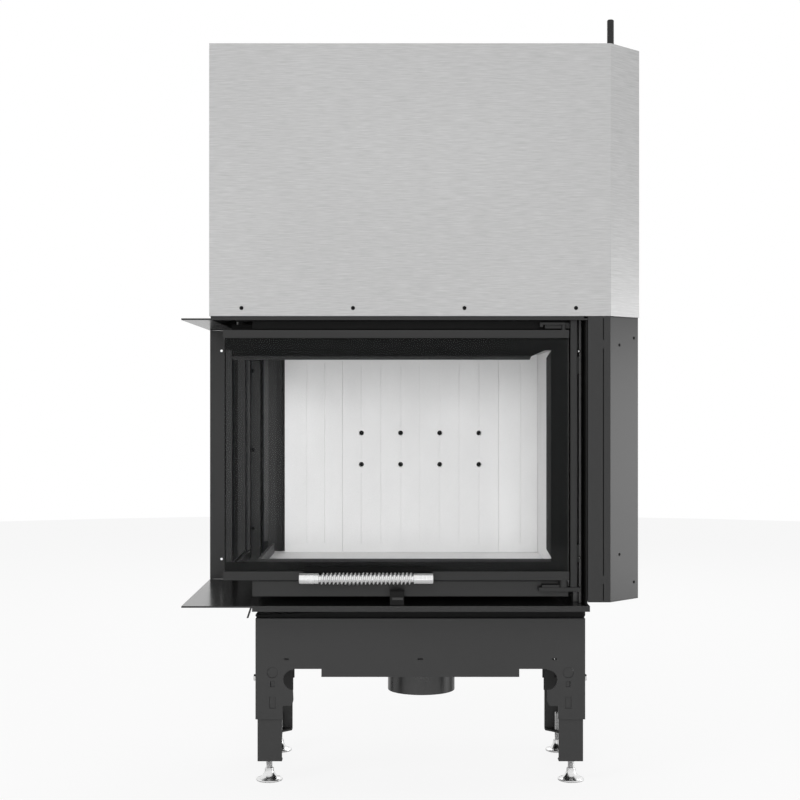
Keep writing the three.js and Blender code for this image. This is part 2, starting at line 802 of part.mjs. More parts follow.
function buildLinings() {
  const backPanel = (name, x, cutters) => {
    const panel = box(x, [liningFace, liningBack], [liningFoot, liningTop]);
    place(name, cut(panel, ...cutters), finishes.ceramic);
  };
  const centreGrooves = [-3, -2, -1, 0, 1, 2, 3].flatMap(
    (step) => groove(step * groovePitch, Math.abs(step) % 2 === 1));
  backPanel("lining_back_left", [liningLeft, seamLeft - seatGap],
    sideGrooveX.flatMap((x) => groove(x, false)));
  backPanel("lining_back_centre", [seamLeft, seamRight], [...centreGrooves, ...airHoles()]);
  backPanel("lining_back_right", [seamRight + seatGap, liningRightFace - seatGap],
    groove(rightGrooveX, false));
  place("lining_right", box([liningRightFace, liningRight], [liningFront, liningBack],
    [liningFoot, liningTop]), finishes.ceramic);
  place("lining_floor", box([floorLiningLeft, liningRight], [liningFront, liningBack],
    [floorFoot, floorTop]), finishes.ceramic);
  place("baffle_plate", box([liningLeft, liningRight], [baffleFront, liningBack],
    [baffleFoot, baffleTop]), finishes.ceramic);

  const stripRight = liningLeft - clipStripThick;
  const clips = clipRise.map((rise) => box([stripRight - clipHeight, liningLeft - seatGap],
    [liningBack - clipStripThick - clipHeight, liningBack - clipStripThick + overcut],
    [liningFoot + rise - clipHeight / 2, liningFoot + rise + clipHeight / 2]));
  const strip = box([stripRight - clipStripWidth, stripRight],
    [liningBack - clipStripThick, liningBack], [liningFoot, shellTop - shellWall - seatGap]);
  place("lining_clip_strip", join(strip, ...clips), finishes.darkSteel);
}

function buildOpeningFrame() {
  const head = shellTop + lintelRise;
  const top = head - lintelHeight;
  const foot = shellFoot + framePlate + seatGap;
  const back = openingFront + framePlate;
  const shelf = shellTop + seatGap;
  const mitreLow = plateTop + retainerTop;
  const outline = [
    [openingLeft, head], [openingLeft, top], [openingRight - mitreWidth, top],
    [openingRight, top - mitreHeight], [openingRight, mitreLow + mitreHeight],
    [openingRight - mitreWidth, mitreLow], [openingRight - mitreWidth, foot],
    [jambRight, foot], [jambRight, head],
  ];
  const frame = join(
    push("y", outline, openingFront, back),
    box([openingLeft, openingRight - mitreWidth], [openingFront, openingFront + lintelFlange],
      [top, top + framePlate]),
    push("y", folded([[shellLeft, shelf + framePlate], [openingLeft, shelf + framePlate],
      [openingLeft, top], [openingLeft + lintelFlange, top]], framePlate),
    openingFront, shellBack),
    box([openingLeft, shellLeft + lintelFlange], [shellFront, shellBack], [shelf, shelf + framePlate]),
  );
  place("opening_frame", frame, finishes.blackSteel);

  const retainer = join(
    box([retainerLeft, openingRight - mitreWidth - seatGap],
      [retainerFront, retainerFront + retainerThick], [foot, plateTop + retainerTop]),
    box([retainerLeft, retainerLeft + retainerThick], [retainerFront, liningFace - seatGap],
      [liningFoot, plateTop + retainerTop]),
  );
  place("log_retainer", retainer, finishes.blackSteel);
}

function buildFrontPanels() {
  const lowerFoot = plateTop + lowerPanelLift;
  const lower = join(
    box([panelLeft, jambRight], [panelFront, panelFront + framePlate],
      [lowerFoot, lowerFoot + lowerPanelHeight]),
    box([panelLeft, jambRight], [panelFront + overcut, shellFront - seatGap],
      [shellFoot, shellFoot + framePlate]),
  );
  place("front_lower_panel", lower, finishes.darkSteel);

  const upperTop = frameFoot - seatGap;
  const upper = push("x", folded([[panelFront + upperPanelFlange, upperTop], [panelFront, upperTop],
    [panelFront, upperTop - upperPanelHeight]], framePlate), panelLeft, jambRight);
  place("front_upper_panel", upper, finishes.blackSteel);
}

// ---------------------------------------------------------------- smoke dome and flue collar

// Solid transition from a rectangle at the foot to a circle at the top.
function transition(width, depth, radius, foot, top) {
  const square = rectangle([-width / 2, width / 2], [-depth / 2, depth / 2]);
  const points = [...square.map(([x, y]) => [x, y, foot]),
    ...circle(0, 0, radius, 32).map(([x, y]) => [x, y, top])];
  return toGeometry(wasm.Manifold.hull(points));
}

function buildDome() {
  const foot = shellTop + seatGap;
  const top = foot + domeHeight;
  const outside = transition(domeWidth, domeDepth, flueRadius, foot, top);
  const inside = transition(domeWidth - 2 * domeWall, domeDepth - 2 * domeWall,
    flueRadius - domeWall, foot, top);
  place("smoke_dome", cut(outside, inside), finishes.blackSteel).position.set(0, domeCentreY, 0);

  const collarFoot = top + seatGap;
  const collar = revolve([[flueRadius - flueWall, collarFoot], [flueRadius, collarFoot],
    [flueRadius, collarFoot + flueLength], [flueRadius - flueWall, collarFoot + flueLength]], 32);
  place("flue_collar", collar, finishes.blackSteel).position.set(0, domeCentreY, 0);
}

// ---------------------------------------------------------------- hood, casing and rear panel

function buildHood() {
  const wall = push("z", folded(hoodOutline(0, bodyDepth), hoodSheet), hoodFoot, hoodTop);
  const rim = push("z", folded(hoodOutline(0, bodyDepth), hoodReturn), hoodTop - hoodSheet, hoodTop);
  const holes = hoodScrewHoles([-hoodSheet, 2 * hoodSheet], hoodFoot + hoodScrewRise);
  place("hood_casing", cut(join(wall, rim), ...holes), finishes.brushedHood);

  const panelSide = hoodSheet + seatGap;
  const right = hoodRight - casingInset - casingSheet - seatGap;
  const panel = push("z", rectangle([hoodLeft + panelSide, right], [bodyDepth - hoodSheet, bodyDepth]),
    plateTop + seatGap, hoodTop - hoodSheet - seatGap);
  place("rear_panel", panel, finishes.blackSteel);
}

function buildCasing() {
  const outline = hoodOutline(casingInset, bodyDepth).slice(2);
  const path = [[casingLeft, casingInset + casingReturn], [casingLeft, casingInset], ...outline];
  const foot = plateTop + casingLift;
  const height = hoodFoot - seatGap - foot;
  const wall = push("z", folded(path, casingSheet), foot, foot + height);
  const slots = bendSlots.map(([rise, length]) => box(
    [bendLineX - bendSlotWidth / 2, bendLineX + bendSlotWidth / 2],
    [casingInset - overcut, casingInset + casingSheet + overcut],
    [foot + rise * height, foot + (rise + length) * height]));
  const cornerX = outline[0][0];
  const holes = chamferHoles.map(([along, rise]) => push("y",
    circle(along, foot + rise * height, chamferHoleRadius, 12), -2 * casingSheet, 2 * casingSheet)
    .rotateZ(Math.PI / 4).translate(cornerX, casingInset, 0));
  place("right_column_casing", cut(wall, ...slots, ...holes), finishes.darkSteel);
}

// ---------------------------------------------------------------- lift: post, rails, rod, weight

function buildLiftGuides() {
  const postRight = casingLeft - seatGap;
  const rodFootTop = plateTop + casingLift + 2 * framePlate;
  const post = join(
    push("z", folded([[shellRight + seatGap, postReturnY], [postRight, postReturnY],
      [postRight, postFront]].reverse(), framePlate), plateTop + seatGap, frameFoot - seatGap),
    box([postRight - overcut, rodX + rodFootDepth / 2],
      [rodY - rodFootDepth / 2, rodY + rodFootDepth / 2], [rodFootTop - framePlate, rodFootTop]),
  );
  place("door_post", post, finishes.blackSteel);

  const webFront = railWebBack - framePlate;
  const flangeRight = railFlangeLeft + railFlangeThick;
  const rail = push("z", [[railWebLeft, railWebBack], [railWebLeft, webFront], [railFlangeLeft, webFront],
    [railFlangeLeft, railFront], [flangeRight, railFront], [flangeRight, webFront],
    [railWebRight, webFront], [railWebRight, railWebBack]], plateTop + seatGap, railTop);
  place("guide_rail_right", rail, finishes.zinc);

  place("guide_rail_left", box([leftRailX, leftRailX + leftRailWidth],
    [leftRailFront, leftRailFront + leftRailDepth],
    [plateTop + leftRailLift, hoodTop - railHeadroom]), finishes.zinc);

  place("counterweight_guide_rod", push("z", circle(rodX, rodY, rodRadius, 16),
    rodFootTop + seatGap, hoodTop + rodAboveHood), finishes.iron);

  const bracketFront = railWebBack + seatGap;
  const bracketBack = bracketFront + framePlate;
  const shelfTop = pulleyZ + pulleyRadius + pulleyRim + weightRoom;
  const narrow = weightLeft - weightRoom;
  const tabBack = rodY + rodFootDepth / 2;
  const bracket = cut(join(
    push("y", [[cableX, railTop - bracketDrop], [narrow, railTop - bracketDrop],
      [narrow, railTop + seatGap], [pulleyX + bracketReach, railTop + seatGap],
      [pulleyX + bracketReach, shelfTop], [cableX, shelfTop]], bracketFront, bracketBack),
    box([pulleyX - bracketTab, rodX + rodFootDepth / 2], [rodY - rodFootDepth / 2, tabBack],
      [shelfTop - framePlate, shelfTop]),
    push("y", circle(pulleyX, pulleyZ, axleRadius, 16), cableY - pulleyWidth / 2,
      bracketBack - overcut),
  ), push("z", circle(rodX, rodY, rodRadius + boreGap, 16), shelfTop - 2 * framePlate,
    shelfTop + overcut));
  place("pulley_bracket", bracket, finishes.darkSteel);
}

function buildCounterweight() {
  const block = push("z", rectangle([weightLeft, weightLeft + weightWidth],
    [weightFront, weightFront + weightDepth]), weightFoot, weightTop,
  [circle(rodX, rodY, rodRadius + boreGap, 16)]);
  place("counterweight", block, finishes.iron);

  const half = pulleyWidth / 2;
  const grooveFoot = pulleyRadius - cableRadius - boreGap;
  const wheel = revolve([
    [axleRadius + boreGap, -half], [pulleyRadius + pulleyRim, -half],
    [pulleyRadius + pulleyRim, rimWidth - half], [grooveFoot, -cableRadius], [grooveFoot, cableRadius],
    [pulleyRadius + pulleyRim, half - rimWidth], [pulleyRadius + pulleyRim, half],
    [axleRadius + boreGap, half],
  ], 32).rotateX(-Math.PI / 2);
  place("lift_pulley", wheel, finishes.zinc).position.set(pulleyX, cableY, pulleyZ);

  const wrap = new THREE.Path();
  wrap.absarc(pulleyX, pulleyZ, pulleyRadius, Math.PI, 0, true);
  const route = new THREE.CatmullRomCurve3(wrap.getPoints(12).map(
    (point) => new THREE.Vector3(point.x, cableY, point.y)));
  const section = new THREE.Shape(toVectors(circle(0, 0, cableRadius, 8)));
  place("lift_cable_bend", new THREE.ExtrudeGeometry(section,
    { steps: 16, bevelEnabled: false, extrudePath: route }), finishes.zinc);
  const cable = (x, foot) => push("z", circle(x, cableY, cableRadius, 8), foot, pulleyZ - seatGap);
  place("lift_cable_door_side", cable(cableX, frameFoot - anchorDrop + anchorThick + seatGap),
    finishes.zinc);
  place("lift_cable_weight_side", cable(pulleyX + pulleyRadius, weightTop + seatGap), finishes.zinc);
}

// ---------------------------------------------------------------- carriage

function buildCarriage() {
  const back = uprightFront + uprightDepth;
  const anchorFoot = frameFoot - anchorDrop;
  const shoes = [armTop + armDrop + shoeHeight, anchorFoot - 2 * shoeHeight].map((foot) => box(
    [uprightRight - uprightSheet, railFlangeLeft - seatGap], [back - shoeDepth, back + shoeDepth],
    [foot, foot + shoeHeight]));
  const upright = join(
    push("z", folded([[uprightLeft, back], [uprightLeft, uprightFront], [uprightRight, uprightFront],
      [uprightRight, back]], uprightSheet), armTop + seatGap, beamTop),
    box([uprightLeft, uprightRight], [uprightFront + uprightSheet, cableY + 2 * cableRadius],
      [anchorFoot, anchorFoot + anchorThick]),
    ...shoes,
  );
  place("carriage_upright", upright, finishes.darkSteel);

  const arm = cut(join(
    box([armLeft, armRight], [leafFront, leafFront + armDepth], [armTop - armHeight, armTop]),
    box([armBlockLeft, armBlockLeft + armBlockWidth], [leafFront + armBlockSetback, leafFront + armDepth],
      [armTop - overcut, armTop + armBlockHeight]),
  ), push("z", circle(hingeX, hingeY, hingePinRadius + boreGap, 16), armTop - 2 * armHeight,
    armTop + overcut));
  place("hinge_arm_lower", arm, finishes.blackSteel);

  const bracketFoot = leafTop + bracketRise;
  const bracket = push("z", rectangle([bracketLeft, uprightLeft - seatGap],
    [leafFront, leafFront + armDepth]), bracketFoot, bracketFoot + bracketHeight,
  [circle(hingeX, hingeY, hingePinRadius + boreGap, 16)]);
  place("hinge_bracket_upper", bracket, finishes.blackSteel);

  const beamLeft = leafLeft - beamSideGap;
  const beam = push("z", folded([[beamLeft, leftRailFront + leftRailDepth], [beamLeft, uprightFront],
    [uprightLeft - seatGap, uprightFront]], beamThick), beamFoot, beamTop);
  place("carriage_beam", beam, finishes.darkSteel);

  const [railLeft, railRight] = [leftRailX - seatGap, leftRailX + leftRailWidth + seatGap];
  const [jaw, heel] = [leftRailFront - seatGap, leftRailFront + leftRailDepth];
  const runner = push("z", [
    [beamLeft + beamThick + seatGap, jaw - 2 * runnerLip], [railRight + runnerLip, jaw - 2 * runnerLip],
    [railRight + runnerLip, heel], [railRight, heel], [railRight, jaw], [railLeft, jaw],
    [railLeft, heel], [beamLeft + beamThick + seatGap, heel]], beamFoot, beamTop);
  place("carriage_runner", runner, finishes.blackSteel);
}

// ---------------------------------------------------------------- door leaf and handle

// L-shaped holder of the two panes seen from above, between its outer and inner edges.
function leafCorner(front, left, right, back, depth, sideDepth) {
  return [[left, back], [left, front], [right, front], [right, front + depth],
    [left + sideDepth, front + depth], [left + sideDepth, back]];
}

function glassGroove(foot, top) {
  const outline = leafCorner(frontGlassFront - seatGap, sideGlassLeft - seatGap,
    leafRight - glassEdge + seatGap, leafBack - glassEdge - glassThick + seatGap,
    glassThick + 2 * seatGap, glassThick + 2 * seatGap);
  return push("z", outline, foot, top);
}

function buildLeaf() {
  const glassFoot = leafFoot + glassEdge;
  const glassTop = leafTop - glassEdge;
  const glassBack = leafBack - glassEdge - glassThick;
  const bar = leafCorner(leafFront, leafLeft, leafRight, leafBack, barDepth, sideBarDepth);
  const pin = (foot, top, radius) => push("z", circle(hingeX, hingeY, radius, 16), foot, top);
  const topBar = join(
    cut(push("z", bar, topBarFoot, leafTop), glassGroove(topBarFoot - overcut, glassTop + seatGap)),
    pin(leafTop - overcut, leafTop + bracketRise + bracketHeight - seatGap, hingePinRadius));
  place("door_top_bar", topBar, finishes.blackSteel);
  const bottomBar = join(
    cut(push("z", bar, leafFoot, bottomBarTop), glassGroove(glassFoot - seatGap, bottomBarTop + overcut)),
    pin(armTop - armHeight + seatGap, leafFoot + overcut, hingePinRadius),
    pin(armTop + seatGap, leafFoot + overcut, hingeShoulderRadius));
  place("door_bottom_bar", bottomBar, finishes.blackSteel);

  const stile = [bottomBarTop + seatGap, topBarFoot - seatGap];
  place("door_right_stile", box([leafRight - stileWidth, leafRight],
    [frontGlassBack + seatGap, frontGlassBack + seatGap + stileDepth], stile), finishes.blackSteel);
  const rearStile = cut(
    box([leafLeft, leafLeft + sideBarDepth], [leafBack - rearStileDepth, leafBack], stile),
    glassGroove(stile[0] - overcut, stile[1] + overcut));
  place("door_rear_stile", rearStile, finishes.blackSteel);
  place("door_front_glass", box([sideGlassLeft, leafRight - glassEdge],
    [frontGlassFront, frontGlassBack], [glassFoot, glassTop]), finishes.glass);
  place("door_side_glass", box([sideGlassLeft, sideGlassRight], [frontGlassBack + seatGap, glassBack],
    [glassFoot, glassTop]), finishes.glass);
}

// Middle line of the coil along +X: a straight run, the turns, and a straight run again.
function coilPoint(share, turnsLength, straight) {
  const turn = THREE.MathUtils.clamp(share, 0, 1) * coilTurns;
  const before = Math.min(share, 0) * straight;
  const after = Math.max(share - 1, 0) * straight;
  const along = before + (turn / coilTurns) * turnsLength + after;
  const angle = turn * 2 * Math.PI;
  return new THREE.Vector3(along, coilRadius * Math.sin(angle), coilRadius * Math.cos(angle));
}

const coilSteps = 8; // to a turn
const wireSides = 5;

// One unbroken wire: rings of wireSides points square to the coil's middle line.
function coilGeometry(turnsLength, straight) {
  const shares = [-1, ...Array.from({ length: coilTurns * coilSteps + 1 },
    (_, i) => i / (coilTurns * coilSteps)), 2];
  const centres = shares.map((share) => coilPoint(share, turnsLength, straight));
  const positions = [];
  centres.forEach((centre, i) => {
    const radial = new THREE.Vector3(0, centre.y, centre.z).normalize();
    const before = centres[Math.max(i - 1, 0)];
    const after = centres[Math.min(i + 1, centres.length - 1)];
    const isEnd = i === 0 || i === centres.length - 1;
    const run = isEnd ? new THREE.Vector3(1, 0, 0) : after.clone().sub(before).normalize();
    const side = new THREE.Vector3().crossVectors(run, radial).normalize();
    const out = new THREE.Vector3().crossVectors(side, run);
    for (let k = 0; k < wireSides; k += 1) {
      const angle = (k / wireSides) * 2 * Math.PI;
      const point = centre.clone().addScaledVector(out, wireRadius * Math.cos(angle))
        .addScaledVector(side, wireRadius * Math.sin(angle));
      positions.push(point.x, point.y, point.z);
    }
  });
  const index = [];
  for (let ring = 0; ring + 1 < centres.length; ring += 1) {
    for (let k = 0; k < wireSides; k += 1) {
      const [a, b] = [ring * wireSides + k, ring * wireSides + ((k + 1) % wireSides)];
      index.push(a, b, b + wireSides, a, b + wireSides, a + wireSides);
    }
  }
  const last = (centres.length - 1) * wireSides;
  for (let k = 1; k + 1 < wireSides; k += 1) {
    index.push(0, k + 1, k, last, last + k, last + k + 1);
  }
  const wire = new THREE.BufferGeometry();
  wire.setAttribute("position", new THREE.Float32BufferAttribute(positions, 3));
  wire.setIndex(index);
  wire.computeVertexNormals();
  return { wire, centres };
}

// Least gap between stretches of the wire that are half a turn or more apart.
function leastCoilGap(centres) {
  let least = Infinity;
  for (let i = 0; i < centres.length; i += 1) {
    for (let j = i + coilSteps / 2; j < Math.min(i + 2 * coilSteps, centres.length); j += 1) {
      least = Math.min(least, centres[i].distanceTo(centres[j]));
    }
  }
  return least - 2 * wireRadius;
}

function buildHandle() {
  const barZ = leafFoot + handleRise;
  const handle = new THREE.Group();
  handle.position.set(handleX, handleY, barZ);
  insert.add(handle);

  const coilEnd = coilStart + coilLength;
  const coreRadius = coilRadius * Math.cos(Math.PI / coilSteps) - wireRadius - 2 * boreGap;
  const bar = revolve([[0, 0], [handleRadius - handleChamfer, 0], [handleRadius, handleChamfer],
    [handleRadius, coilStart], [coreRadius, coilStart], [coreRadius, coilEnd], [handleRadius, coilEnd],
    [handleRadius, handleLength - handleChamfer], [handleRadius - handleChamfer, handleLength],
    [0, handleLength]], 24)
    .rotateY(Math.PI / 2);
  place("handle_bar", bar, finishes.stainless, handle);

  const straight = 2 * wireRadius;
  const turnsLength = coilLength - 2 * straight - 2 * seatGap;
  const { wire, centres } = coilGeometry(turnsLength, straight);
  console.log(`handle coil: least gap ${leastCoilGap(centres).toFixed(2)} mm`);
  place("handle_coil", wire, finishes.stainless, handle)
    .position.set(coilStart + seatGap + straight, 0, 0);

  const plateBack = leafFront - seatGap;
  const plateFront = plateBack - gripPlateThick;
  const posts = [postInset, handleLength - postInset].map((inset) => push("y",
    circle(handleX + inset, barZ, postRadius, 16), handleY, plateFront + overcut));
  const sleeve = push("x", circle(handleY, barZ, handleRadius + seatGap, 32),
    handleX - overcut, handleX + handleLength + overcut);
  const plate = box([handleX + gripPlateLeft, handleX + handleLength - gripPlateRight],
    [plateFront, plateBack], [leafFoot + gripPlateRise, leafFoot + gripPlateRise + gripPlateHeight]);
  place("handle_bracket", cut(join(plate, ...posts), sleeve), finishes.blackSteel);
}

// ---------------------------------------------------------------- assembly

buildBase();
buildLegs();
buildAirSupply();
buildBottomPlate();
buildTopFrame();
buildColumn();
buildShell();
buildLinings();
buildOpeningFrame();
buildFrontPanels();
buildDome();
buildHood();
buildCasing();
buildLiftGuides();
buildCounterweight();
buildCarriage();
buildLeaf();
buildHandle();

insert.updateMatrixWorld(true);
const extent = new THREE.Box3().setFromObject(insert);
const middle = extent.getCenter(new THREE.Vector3());
insert.position.set(-middle.x, -middle.y, -extent.min.z);
insert.updateMatrixWorld(true);

export default insert;
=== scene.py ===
"""Fireplace insert with a lifting corner glass door, dressed for its photograph.

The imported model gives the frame. Each sub-assembly below rounds the edges of its sheet metal,
adds the fasteners, seals, print and threads that the model leaves out, and gives every piece
its finish. Sizes are in metres.
"""

from __future__ import annotations

import json
import logging
import math
from collections.abc import Callable
from dataclasses import dataclass
from enum import Enum

import bmesh
import bpy
from mathutils import Matrix, Vector

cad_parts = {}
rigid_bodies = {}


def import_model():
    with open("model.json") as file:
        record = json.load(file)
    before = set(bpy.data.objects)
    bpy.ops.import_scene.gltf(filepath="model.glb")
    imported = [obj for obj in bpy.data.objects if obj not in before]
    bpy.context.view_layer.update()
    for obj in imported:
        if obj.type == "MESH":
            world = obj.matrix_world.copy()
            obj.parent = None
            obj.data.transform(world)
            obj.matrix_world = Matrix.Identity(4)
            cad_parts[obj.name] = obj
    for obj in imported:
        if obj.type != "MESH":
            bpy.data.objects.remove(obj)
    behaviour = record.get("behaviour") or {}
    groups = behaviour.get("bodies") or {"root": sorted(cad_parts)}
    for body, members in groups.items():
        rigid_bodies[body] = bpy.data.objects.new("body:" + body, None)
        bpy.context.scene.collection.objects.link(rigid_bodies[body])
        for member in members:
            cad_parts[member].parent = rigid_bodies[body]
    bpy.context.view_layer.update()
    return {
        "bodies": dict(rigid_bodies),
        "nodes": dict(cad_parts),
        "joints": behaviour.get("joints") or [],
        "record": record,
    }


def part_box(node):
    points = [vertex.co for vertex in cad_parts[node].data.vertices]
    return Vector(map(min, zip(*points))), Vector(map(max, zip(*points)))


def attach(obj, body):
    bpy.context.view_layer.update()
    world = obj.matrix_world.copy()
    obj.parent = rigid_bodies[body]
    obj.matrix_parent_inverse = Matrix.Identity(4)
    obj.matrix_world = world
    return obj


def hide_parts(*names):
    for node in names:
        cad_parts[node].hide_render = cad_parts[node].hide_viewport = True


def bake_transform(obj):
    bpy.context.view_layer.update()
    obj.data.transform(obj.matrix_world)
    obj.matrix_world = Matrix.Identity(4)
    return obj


LOG = logging.getLogger("fireplace_insert")
MM = 0.001
HOOD_ORIGIN = Vector((17.1, -202.05, 0.0))  # the hood's front over the firebox's middle line
MERGE = 1e-6  # vertices nearer than this are one
ALONG_X, ALONG_Y, UP = Vector((1, 0, 0)), Vector((0, 1, 0)), Vector((0, 0, 1))


def at(x: float, y: float, z: float) -> Vector:
    """Returns a place in metres, given in mm from the hood's front and the firebox's middle."""
    return (Vector((x, y, z)) + HOOD_ORIGIN) * MM


def tone(value: float) -> tuple[float, float, float, float]:
    """Returns the linear neutral colour of an 8-bit grey.

    Args:
        value: the grey, 0 to 255.

    Returns:
        Linear red, green, blue and alpha.
    """
    share = value / 255
    linear = share / 12.92 if share <= 0.04045 else ((share + 0.055) / 1.055) ** 2.4
    return (linear, linear, linear, 1.0)


# ---------------------------------------------------------------------------- finishes


class Tree:
    """Short-hand for wiring one material's nodes."""

    def __init__(self, name: str) -> None:
        """Starts an empty material with its output and a Principled shader."""
        self.material = bpy.data.materials.new(name)
        self.material.use_nodes = True
        self.nodes = self.material.node_tree.nodes
        self.links = self.material.node_tree.links
        self.nodes.clear()
        self.output = self.nodes.new("ShaderNodeOutputMaterial")
        self.shader = self.nodes.new("ShaderNodeBsdfPrincipled")
        self.links.new(self.shader.outputs[0], self.output.inputs[0])

    def add(self, kind: str, **settings: object) -> bpy.types.Node:
        """Adds a node and sets its properties.

        Args:
            kind: the node's type name.
            settings: property names and their values.

        Returns:
            The new node.
        """
        node = self.nodes.new(kind)
        for key, value in settings.items():
            setattr(node, key, value)
        return node

    def place(self, scale: tuple[float, float, float]) -> bpy.types.NodeSocket:
        """Returns Object coordinates stretched by a scale.

        Args:
            scale: how many pattern units a metre holds along each axis.
        """
        coords = self.add("ShaderNodeTexCoord")
        mapping = self.add("ShaderNodeMapping")
        mapping.inputs["Scale"].default_value = scale
        self.links.new(coords.outputs["Object"], mapping.inputs["Vector"])
        return mapping.outputs["Vector"]

    def noise(self, scale: tuple[float, float, float], detail: float = 2.0) -> bpy.types.NodeSocket:
        """Returns a noise value over Object coordinates.

        Args:
            scale: cells to a metre along each axis.
            detail: octaves.
        """
        node = self.add("ShaderNodeTexNoise")
        node.inputs["Scale"].default_value = 1.0
        node.inputs["Detail"].default_value = detail
        self.links.new(self.place(scale), node.inputs["Vector"])
        return node.outputs["Fac"]

    def spread(self, value: bpy.types.NodeSocket, low: float, high: float) -> bpy.types.NodeSocket:
        """Returns a value whose middle half runs from low to high, and on past them.

        Args:
            value: the input, 0 to 1.
            low: result at 0.3.
            high: result at 0.7.
        """
        return self.remap(value, (0.3, 0.7, low, high), False)

    def remap(self, value: bpy.types.NodeSocket, ends: tuple[float, float, float, float],
              clamp: bool = True) -> bpy.types.NodeSocket:
        """Returns a value taken from one range to another.

        Args:
            value: the input.
            ends: start and end of the input's range, then of the result's.
            clamp: whether the result stays between its ends.
        """
        node = self.add("ShaderNodeMapRange", clamp=clamp)
        for key, number in zip(("From Min", "From Max", "To Min", "To Max"), ends):
            node.inputs[key].default_value = number
        self.links.new(value, node.inputs["Value"])
        return node.outputs["Result"]

    def tint(self, colour: tuple[float, ...], factor: bpy.types.NodeSocket) -> bpy.types.NodeSocket:
        """Returns a colour multiplied by a factor.

        Args:
            colour: linear colour.
            factor: the value to multiply by.
        """
        node = self.add("ShaderNodeVectorMath", operation="SCALE")
        node.inputs[0].default_value = colour[:3]
        self.links.new(factor, node.inputs["Scale"])
        return node.outputs["Vector"]

    def product(self, a: bpy.types.NodeSocket, b: bpy.types.NodeSocket) -> bpy.types.NodeSocket:
        """Returns the product of two values."""
        node = self.add("ShaderNodeMath", operation="MULTIPLY")
        self.links.new(a, node.inputs[0])
        self.links.new(b, node.inputs[1])
        return node.outputs["Value"]

    def bump(self, height: bpy.types.NodeSocket, strength: float, depth: float) -> None:
        """Wires a height into the shader's normal.

        Args:
            height: the height value.
            strength: share of the effect.
            depth: how deep full height is, in metres.
        """
        node = self.add("ShaderNodeBump")
        node.inputs["Strength"].default_value = strength
        node.inputs["Distance"].default_value = depth
        self.links.new(height, node.inputs["Height"])
        self.links.new(node.outputs["Normal"], self.shader.inputs["Normal"])

    def set(self, **values: float) -> None:
        """Sets the shader's own sockets by name, with _ for a space."""
        for key, value in values.items():
            self.shader.inputs[key.replace("_", " ")].default_value = value

    def wire(self, socket: str, value: bpy.types.NodeSocket) -> None:
        """Links a value to one of the shader's sockets."""
        self.links.new(value, self.shader.inputs[socket])


@dataclass(frozen=True)
class BrushedSheet:
    """Sheet steel brushed along the horizontal."""

    name: str
    grey: float
    roughness: float = 0.42
    metallic: float = 0.75
    streak_length: float = 34 * MM
    streak_width: float = 1.5 * MM
    contrast: float = 0.07

    def material(self) -> bpy.types.Material:
        """Returns the material: long fine streaks in colour, gloss and height."""
        tree = Tree(self.name)
        along = 1 / self.streak_length
        streaks = tree.noise((along, along, 1 / self.streak_width), 3.0)
        hairs = tree.noise((along * 2.4, along * 2.4, 3.2 / self.streak_width), 2.0)
        cloud = tree.noise((2.2, 2.2, 3.1), 1.0)
        shade = tree.product(tree.spread(streaks, 1 - self.contrast, 1 + self.contrast),
                             tree.spread(hairs, 1 - self.contrast / 2, 1 + self.contrast / 2))
        shade = tree.product(shade, tree.spread(cloud, 0.97, 1.03))
        tree.wire("Base Color", tree.tint(tone(self.grey), shade))
        tree.wire("Roughness", tree.spread(streaks, self.roughness - 0.05, self.roughness + 0.05))
        tree.set(Metallic=self.metallic, Anisotropic=0.5)
        tree.bump(hairs, 0.12, 0.04 * MM)
        return tree.material


@dataclass(frozen=True)
class MattPaint:
    """Heat-resistant paint or powder coat on steel: fine grain and soft gloss."""

    name: str
    grey: float
    roughness: float = 0.5
    gloss: float = 0.3
    grain: float = 0.9 * MM
    clouds: float = 0.02

    def material(self) -> bpy.types.Material:
        """Returns the material: fine grain in height, faint clouds in colour and gloss."""
        tree = Tree(self.name)
        grain = tree.noise((1 / self.grain,) * 3, 2.0)
        cloud = tree.noise((7.0, 7.0, 7.0), 3.0)
        shade = tree.product(tree.spread(grain, 0.96, 1.04),
                             tree.spread(cloud, 1 - self.clouds, 1 + self.clouds))
        tree.wire("Base Color", tree.tint(tone(self.grey), shade))
        tree.wire("Roughness", tree.spread(cloud, self.roughness - self.clouds / 2,
                                           self.roughness + self.clouds / 2))
        tree.set(Metallic=0.0, Specular_IOR_Level=self.gloss)
        tree.bump(grain, 0.2, 0.03 * MM)
        return tree.material


@dataclass(frozen=True)
class GlassPrint:
    """Ceramic print fired onto the glass: even, dense black with faint specks."""

    name: str
    grey: float

    def material(self) -> bpy.types.Material:
        """Returns the material: faint specks in colour and gloss."""
        tree = Tree(self.name)
        specks = tree.noise((900.0, 900.0, 900.0), 2.0)
        cloud = tree.noise((9.0, 9.0, 9.0), 2.0)
        tree.wire("Base Color", tree.tint(tone(self.grey), tree.spread(specks, 0.94, 1.06)))
        tree.wire("Roughness", tree.spread(cloud, 0.42, 0.5))
        tree.set(Metallic=0.0, Specular_IOR_Level=0.05)
        return tree.material


